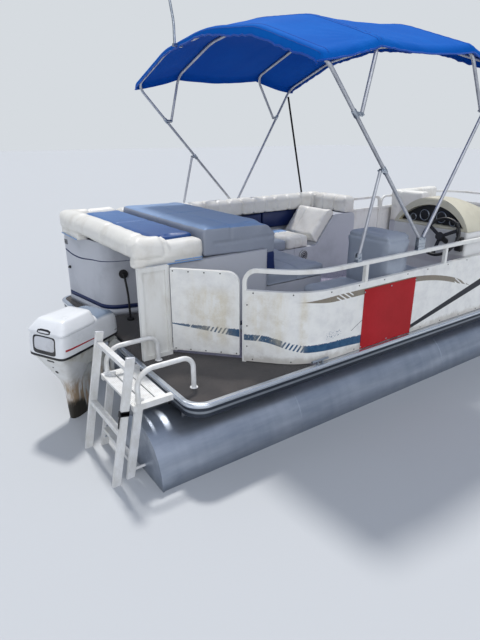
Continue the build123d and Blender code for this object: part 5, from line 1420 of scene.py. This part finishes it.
def sidePatch(heap, x0, x1, low0, low1, high0, high1, lift, side):
    # A thin patch on the cowl's side that follows its plan.
    x, body = np.linspace(x0, x1, 40), np.array(cowlPlan["body"])
    low, high = np.interp(x, [x0, x1], [low0, low1]), np.interp(x, [x0, x1], [high0, high1])
    along = (x + 0.570) / 0.6
    bulge = (1 - np.abs(2 * along - 1) ** cowlPlan["power"]) ** (1 / cowlPlan["power"])
    rows = []
    for away in (lift, -0.001):
        strip = []
        for share in np.linspace(0, 1, 4):
            z = low + (high - low) * share
            y = np.interp(z, body[:, 0], body[:, 3]) * bulge * (1 - cowlPlan["narrow"] * along) + away
            strip.append(np.column_stack([sx(x), y * side, uz(z)]))
        rows.append(np.stack(strip, 1))
    heap.shell(*rows)


dark = Heap()
aftPatch(dark, *cowlPlan["darkPatch"])
# The dark patch high on the crown's aft face is painted shade inside the handle's recess.
aftPatch(dark, *cowlPlan["handleRecessShade"], "crown", 0.008)
rings = [oblong(-0.570 - grow, 0.030 + grow, 0.1688 + grow, z, power, narrow) for grow, z in
         ((-0.002, 0.060), (0.0018, 0.060), (0.0026, 0.068), (0.0018, 0.0765), (-0.002, 0.0765))]
dark.stack(rings, wrap=True)
for side in (-1, 1):
    sidePatch(dark, *cowlPlan["sideMark"], side)
dark.bend(steered).make("cowlDarkMarksAndShade", "outboard", "black_plastic", "markBlack")
pale = Heap()
aftPatch(pale, *cowlPlan["blankPlate"])
aftPatch(pale, *cowlPlan["blankTop"], "crown", 0.002)
pale.bend(steered).make("cowlBlankPlate", "outboard", "motor_white", "markPale")
red = Heap()
for side in (-1, 1):
    sidePatch(red, *cowlPlan["stripe"], side)
red.bend(steered).make("cowlStripe", "outboard", "motor_white", "stripeRed")
apron = Heap()
apron.stack([oblong(x0, x1, half, z, square, apronPlan["narrow"]) for z, x0, x1, half, square in apronPlan["rings"]])
for side in (-1, 1):
    apron.tube([(sx(x), side * y, uz(z)) for x, y, z in apronPlan["rib"]], apronPlan["ribRadii"], 8)
smoothEdges(apron.bend(steered).make("motorApron", "outboard", "motor_grey", "apronPaint"), 40)


def apronAft(z):
    # How far aft the apron's face stands at a height.
    heights, aftEnds = np.array(apronPlan["rings"])[::-1, :2].T
    return np.interp(z, heights, aftEnds) - 0.0006


def panPatch(heap, y0, y1, z0, z1, lift):
    # A thin patch on the aft face of the apron.
    y, z = np.meshgrid(np.linspace(y0, y1, 6), np.linspace(z0, z1, 6), indexing="ij")
    outer = np.stack([sx(apronAft(z)) - lift, y, uz(z)], -1)
    heap.shell(outer, outer + (lift + 0.002, 0, 0))


pan = Heap()
panPatch(pan, -0.056, 0.006, 0.024, 0.038, 0.001)
pan.knob((sx(apronAft(-0.085)), 0.0, uz(-0.085)), (-1, 0, -0.55), 0.013, 0.004)
pan.knob((sx(apronAft(-0.035)), 0.0, uz(-0.035)), (-1, 0, -0.55), 0.005, 0.003)
pan.bend(steered).make("panSlot", "outboard", "black_plastic", "blackPlastic")
print("motor dressed")

# Ladder: tread ribs, hoop flanges, hinge bolts, and the strap wound on the folding rail
ladder = {"hingeX": -3.325, "hingeZ": 0.14, "lean": radians(11), "treads": (0.240, -0.170), "ribs": 5,
          "ribsApart": 0.0082, "strapThick": 0.0017, "strapWide": 0.024, "steps": (-0.228, -0.148, -0.070),
          "stepRibs": 6, "stepRibsApart": 0.0105, "flange": 0.026}
ladderLow, ladderHigh = iy(0.245), iy(0.731)
foldX = sx(-0.400)


def leaned(points):
    # Points turned about the ladder's hinge to its lean at rest.
    points = np.array(points, float)
    x, z = points[..., 0] - ladder["hingeX"], points[..., 2] - ladder["hingeZ"]
    c, w = cos(ladder["lean"]), sin(ladder["lean"])
    points[..., 0], points[..., 2] = ladder["hingeX"] + x * c + z * w, ladder["hingeZ"] - x * w + z * c
    return points


ribs = Heap()
for z in ladder["treads"]:
    for k in range(ladder["ribs"]):
        x = foldX + 0.0065 + k * ladder["ribsApart"]
        ribs.box((x, ladderLow + 0.013, uz(z) - 0.001), (x + 0.004, ladderHigh - 0.013, uz(z) + 0.0018), 0.0006)
for y in (ladderLow, ladderHigh):
    ribs.box((foldX - 0.0008, y - 0.0072, uz(-0.62)), (foldX + 0.001, y - 0.0058, uz(0.29)), 0.0003)
    ribs.box((foldX - 0.0008, y + 0.0058, uz(-0.62)), (foldX + 0.001, y + 0.0072, uz(0.29)), 0.0003)
ribs.bend(leaned).make("ladderTreadRibs", "ladder_body", "ladder_metal", "ladderMetal")
caps = Heap()
for y in (ladderLow, ladderHigh):
    for z0, z1 in ((0.2985, 0.302), (-0.632, -0.6285)):
        caps.box((foldX - 0.0012, y - 0.0112, uz(z0)), (foldX + 0.0512, y + 0.0112, uz(z1)), 0.001)
caps.bend(leaned).make("ladderCaps", "ladder_body", "black_plastic", "markPale")
strap = Heap()
loop = [(foldX - 0.0022, ladderLow - 0.0122), (foldX + 0.0522, ladderLow - 0.0122),
        (foldX + 0.0522, ladderLow + 0.0122), (foldX - 0.0022, ladderLow + 0.0122)]
thick = ladder["strapThick"]
loopIn = [(x + (thick if x < foldX + 0.02 else -thick), y + (thick if y < ladderLow else -thick)) for x, y in loop]
for z in (-0.060, -0.052):
    ringOut, ringIn = ([np.array([(*spot, uz(z + rise)) for spot in spots]) for rise in (0.0, ladder["strapWide"])]
                       for spots in (loop, loopIn))
    strap.stack([ringOut[0], ringOut[1], ringIn[1], ringIn[0]], wrap=True)
strap.box((foldX - 0.0085, ladderLow - 0.016, uz(-0.064)), (foldX - 0.0015, ladderLow + 0.010, uz(-0.026)), 0.002)
tail = np.array([(foldX - 0.004, ladderLow - 0.012, uz(-0.042)), (foldX - 0.010, ladderLow - 0.015, uz(-0.08)),
                 (foldX - 0.008, ladderLow - 0.014, uz(-0.13))])
strap.tube(tail, 0.011, 8, flat=0.12, upward=(1, 0, 0))
strap.bend(leaned).make("ladderStrap", "ladder_body", "webbing", "webbing", smooth=False)
steps = Heap()
for x in ladder["steps"]:
    for k in range(ladder["stepRibs"]):
        at = sx(x) - 0.028 + k * ladder["stepRibsApart"]
        steps.box((at, ladderLow + 0.022, uz(0.0055)), (at + 0.0045, ladderHigh - 0.022, uz(0.0082)), 0.0006)
for y in (ladderLow - 0.003, ladderHigh + 0.003):
    for x, z in ((-0.222, uz(0.0058)), (0.154, uz(0.0))):
        steps.knob((sx(x), y, z), (0, 0, 1), ladder["flange"], 0.005, 20, 0.3)
        for turn in (0.8, 2.9, 5.0):
            steps.knob((sx(x) + 0.0208 * cos(turn), y + 0.0208 * sin(turn), z + 0.0035), (0, 0, 1), 0.0035, 0.003, 8)
steps.make("platformRibs", "hull", "ladder_metal", "ladderMetal")
bolts = Heap()
for y, way in ((ladderLow + 0.035, 1), (ladderHigh - 0.035, -1)):
    for z in (-0.44, -0.36, 0.0):
        bolts.knob((sx(-0.275), y, uz(z)), (0, way, 0), 0.007, 0.005, 8)
bolts.bend(leaned).make("ladderBolts", "hull", "ladder_metal", "trimMetal")
print("ladder dressed")

# The wall and the navy panel behind the chaise's foot: two corners of each and its rounding
chaisePlan = {"wall": ((2.3303, 0.0595, 0.322), (2.930, 0.0005, 0.6395)), "wallEdge": 0.006,
              "panel": ((2.333, 0.128, 0.455), (2.880, 0.0605, 0.6385)), "panelEdge": 0.012}
for part, name, slot, look in (("wall", "chaiseWall", "moulded_grey", "mouldedGrey"),
                               ("panel", "chaisePanel", "navy_vinyl", "navyVinyl")):
    block = Heap()
    block.box(*((sx(x), basePort - y, uz(z)) for x, y, z in chaisePlan[part]), chaisePlan[part + "Edge"])
    block.make(name, "hull", slot, look)

# Light-blue piping along the foot of the aft roll's blocks
aft, front, starboard, port, deep = rollBox
piping = Heap()
for path, z in (([(front - 0.02, starboard + 0.003), (aft + 0.08, starboard + 0.003)], 0.652),
                ([(front - 0.02, starboard + 0.003), (aft + 0.30, starboard + 0.003)], 0.668),
                ([(aft + 0.003, port - 0.10), (aft + 0.003, port - 0.50)], 0.652)):
    piping.tube([(x, y, uz(z)) for x, y in np.linspace(*path, 12)], 0.0042, 8)
piping.make("rollPiping", "hull", "blue_vinyl", "paleBlueVinyl")

# Dash gauges, throttle, speaker grille and the floats' weld lines
dash = {"x": sx(2.748), "middle": iy(0.46), "tickPlace": 0.78, "tickHalf": (0.0006, 0.0012, 0.0012),
        "gauges": ((-0.20, 0.776, 0.030), (-0.085, 0.806, 0.046), (0.085, 0.806, 0.046), (0.20, 0.776, 0.030))}
lever = {"box": ((2.660, 0.100, 0.560), (2.7002, 0.165, 0.680)), "across": iy(0.132), "radius": 0.007, "knob": 0.018,
         "arm": ((2.668, 0.64), (2.630, 0.70), (2.612, 0.78))}
speaker = {"x": sx(2.46), "z": uz(0.230), "rings": (0.018, 0.034, 0.050), "rim": 0.0595}
floats = {"apart": 0.96, "z": 0.03, "weldRadius": 0.3052, "welds": (sx(0.9), sx(2.55), sx(4.2), bowX - 0.7)}


def hoop(x, y, z, radius, count, across="x"):
    # A closed ring about a line along X or along Y.
    turn = np.linspace(0, 2 * pi, count, endpoint=False)
    if across == "x":
        return np.column_stack([np.full(count, x), y + radius * np.cos(turn), z + radius * np.sin(turn)])
    return np.column_stack([x + radius * np.cos(turn), np.full(count, y), z + radius * np.sin(turn)])


gauges, dials = Heap(), Heap()
for across, z, radius in dash["gauges"]:
    y = dash["middle"] + across
    gauges.tube(hoop(dash["x"] - 0.003, y, uz(z), radius, 40), 0.004, 8, close=True)
    dials.knob((dash["x"] + 0.001, y, uz(z)), (-1, 0, 0), radius - 0.002, 0.0025, 32, 0.02)
    out, half = radius * dash["tickPlace"], np.array(dash["tickHalf"])
    for turn in np.radians(np.arange(-120, 121, 30)):
        spot = np.array([dash["x"] - 0.0018, y + out * sin(turn), uz(z) + out * cos(turn)])
        gauges.box(spot - half, spot + half, 0.0002)
gauges.make("dashBezels", "hull", "trim_metal", "trimMetal")
dials.make("dashGauges", "hull", "black_plastic", "markBlack")
throttle = Heap()
throttle.box(*((sx(x), iy(y), uz(z)) for x, y, z in lever["box"]), 0.008)
throttle.tube([(sx(x), lever["across"], uz(z)) for x, z in lever["arm"]], lever["radius"], 10)
throttle.knob((sx(2.612), lever["across"], uz(0.772)), (-0.2, 0, 1), lever["knob"], 0.04, 16, 0.5)
throttle.make("throttleBox", "hull", "black_plastic", "blackPlastic")
couchIn = basePort - 0.70
grille = Heap()
for radius in speaker["rings"]:
    grille.tube(hoop(speaker["x"], couchIn - 0.0105, speaker["z"], radius, 48, "y"), 0.0025, 6, close=True)
grille.tube(hoop(speaker["x"], couchIn - 0.0100, speaker["z"], speaker["rim"], 64, "y"), 0.004, 8, close=True)
grille.make("speakerGrille", "hull", "black_plastic", "markPale")
welds = Heap()
for side in (-1, 1):
    for x in floats["welds"]:
        welds.tube(hoop(x, side * floats["apart"], floats["z"], floats["weldRadius"], 72), 0.0024, 6, close=True)
welds.make("floatWelds", "hull", "float_metal", "floatMetal")
print("small fittings made")
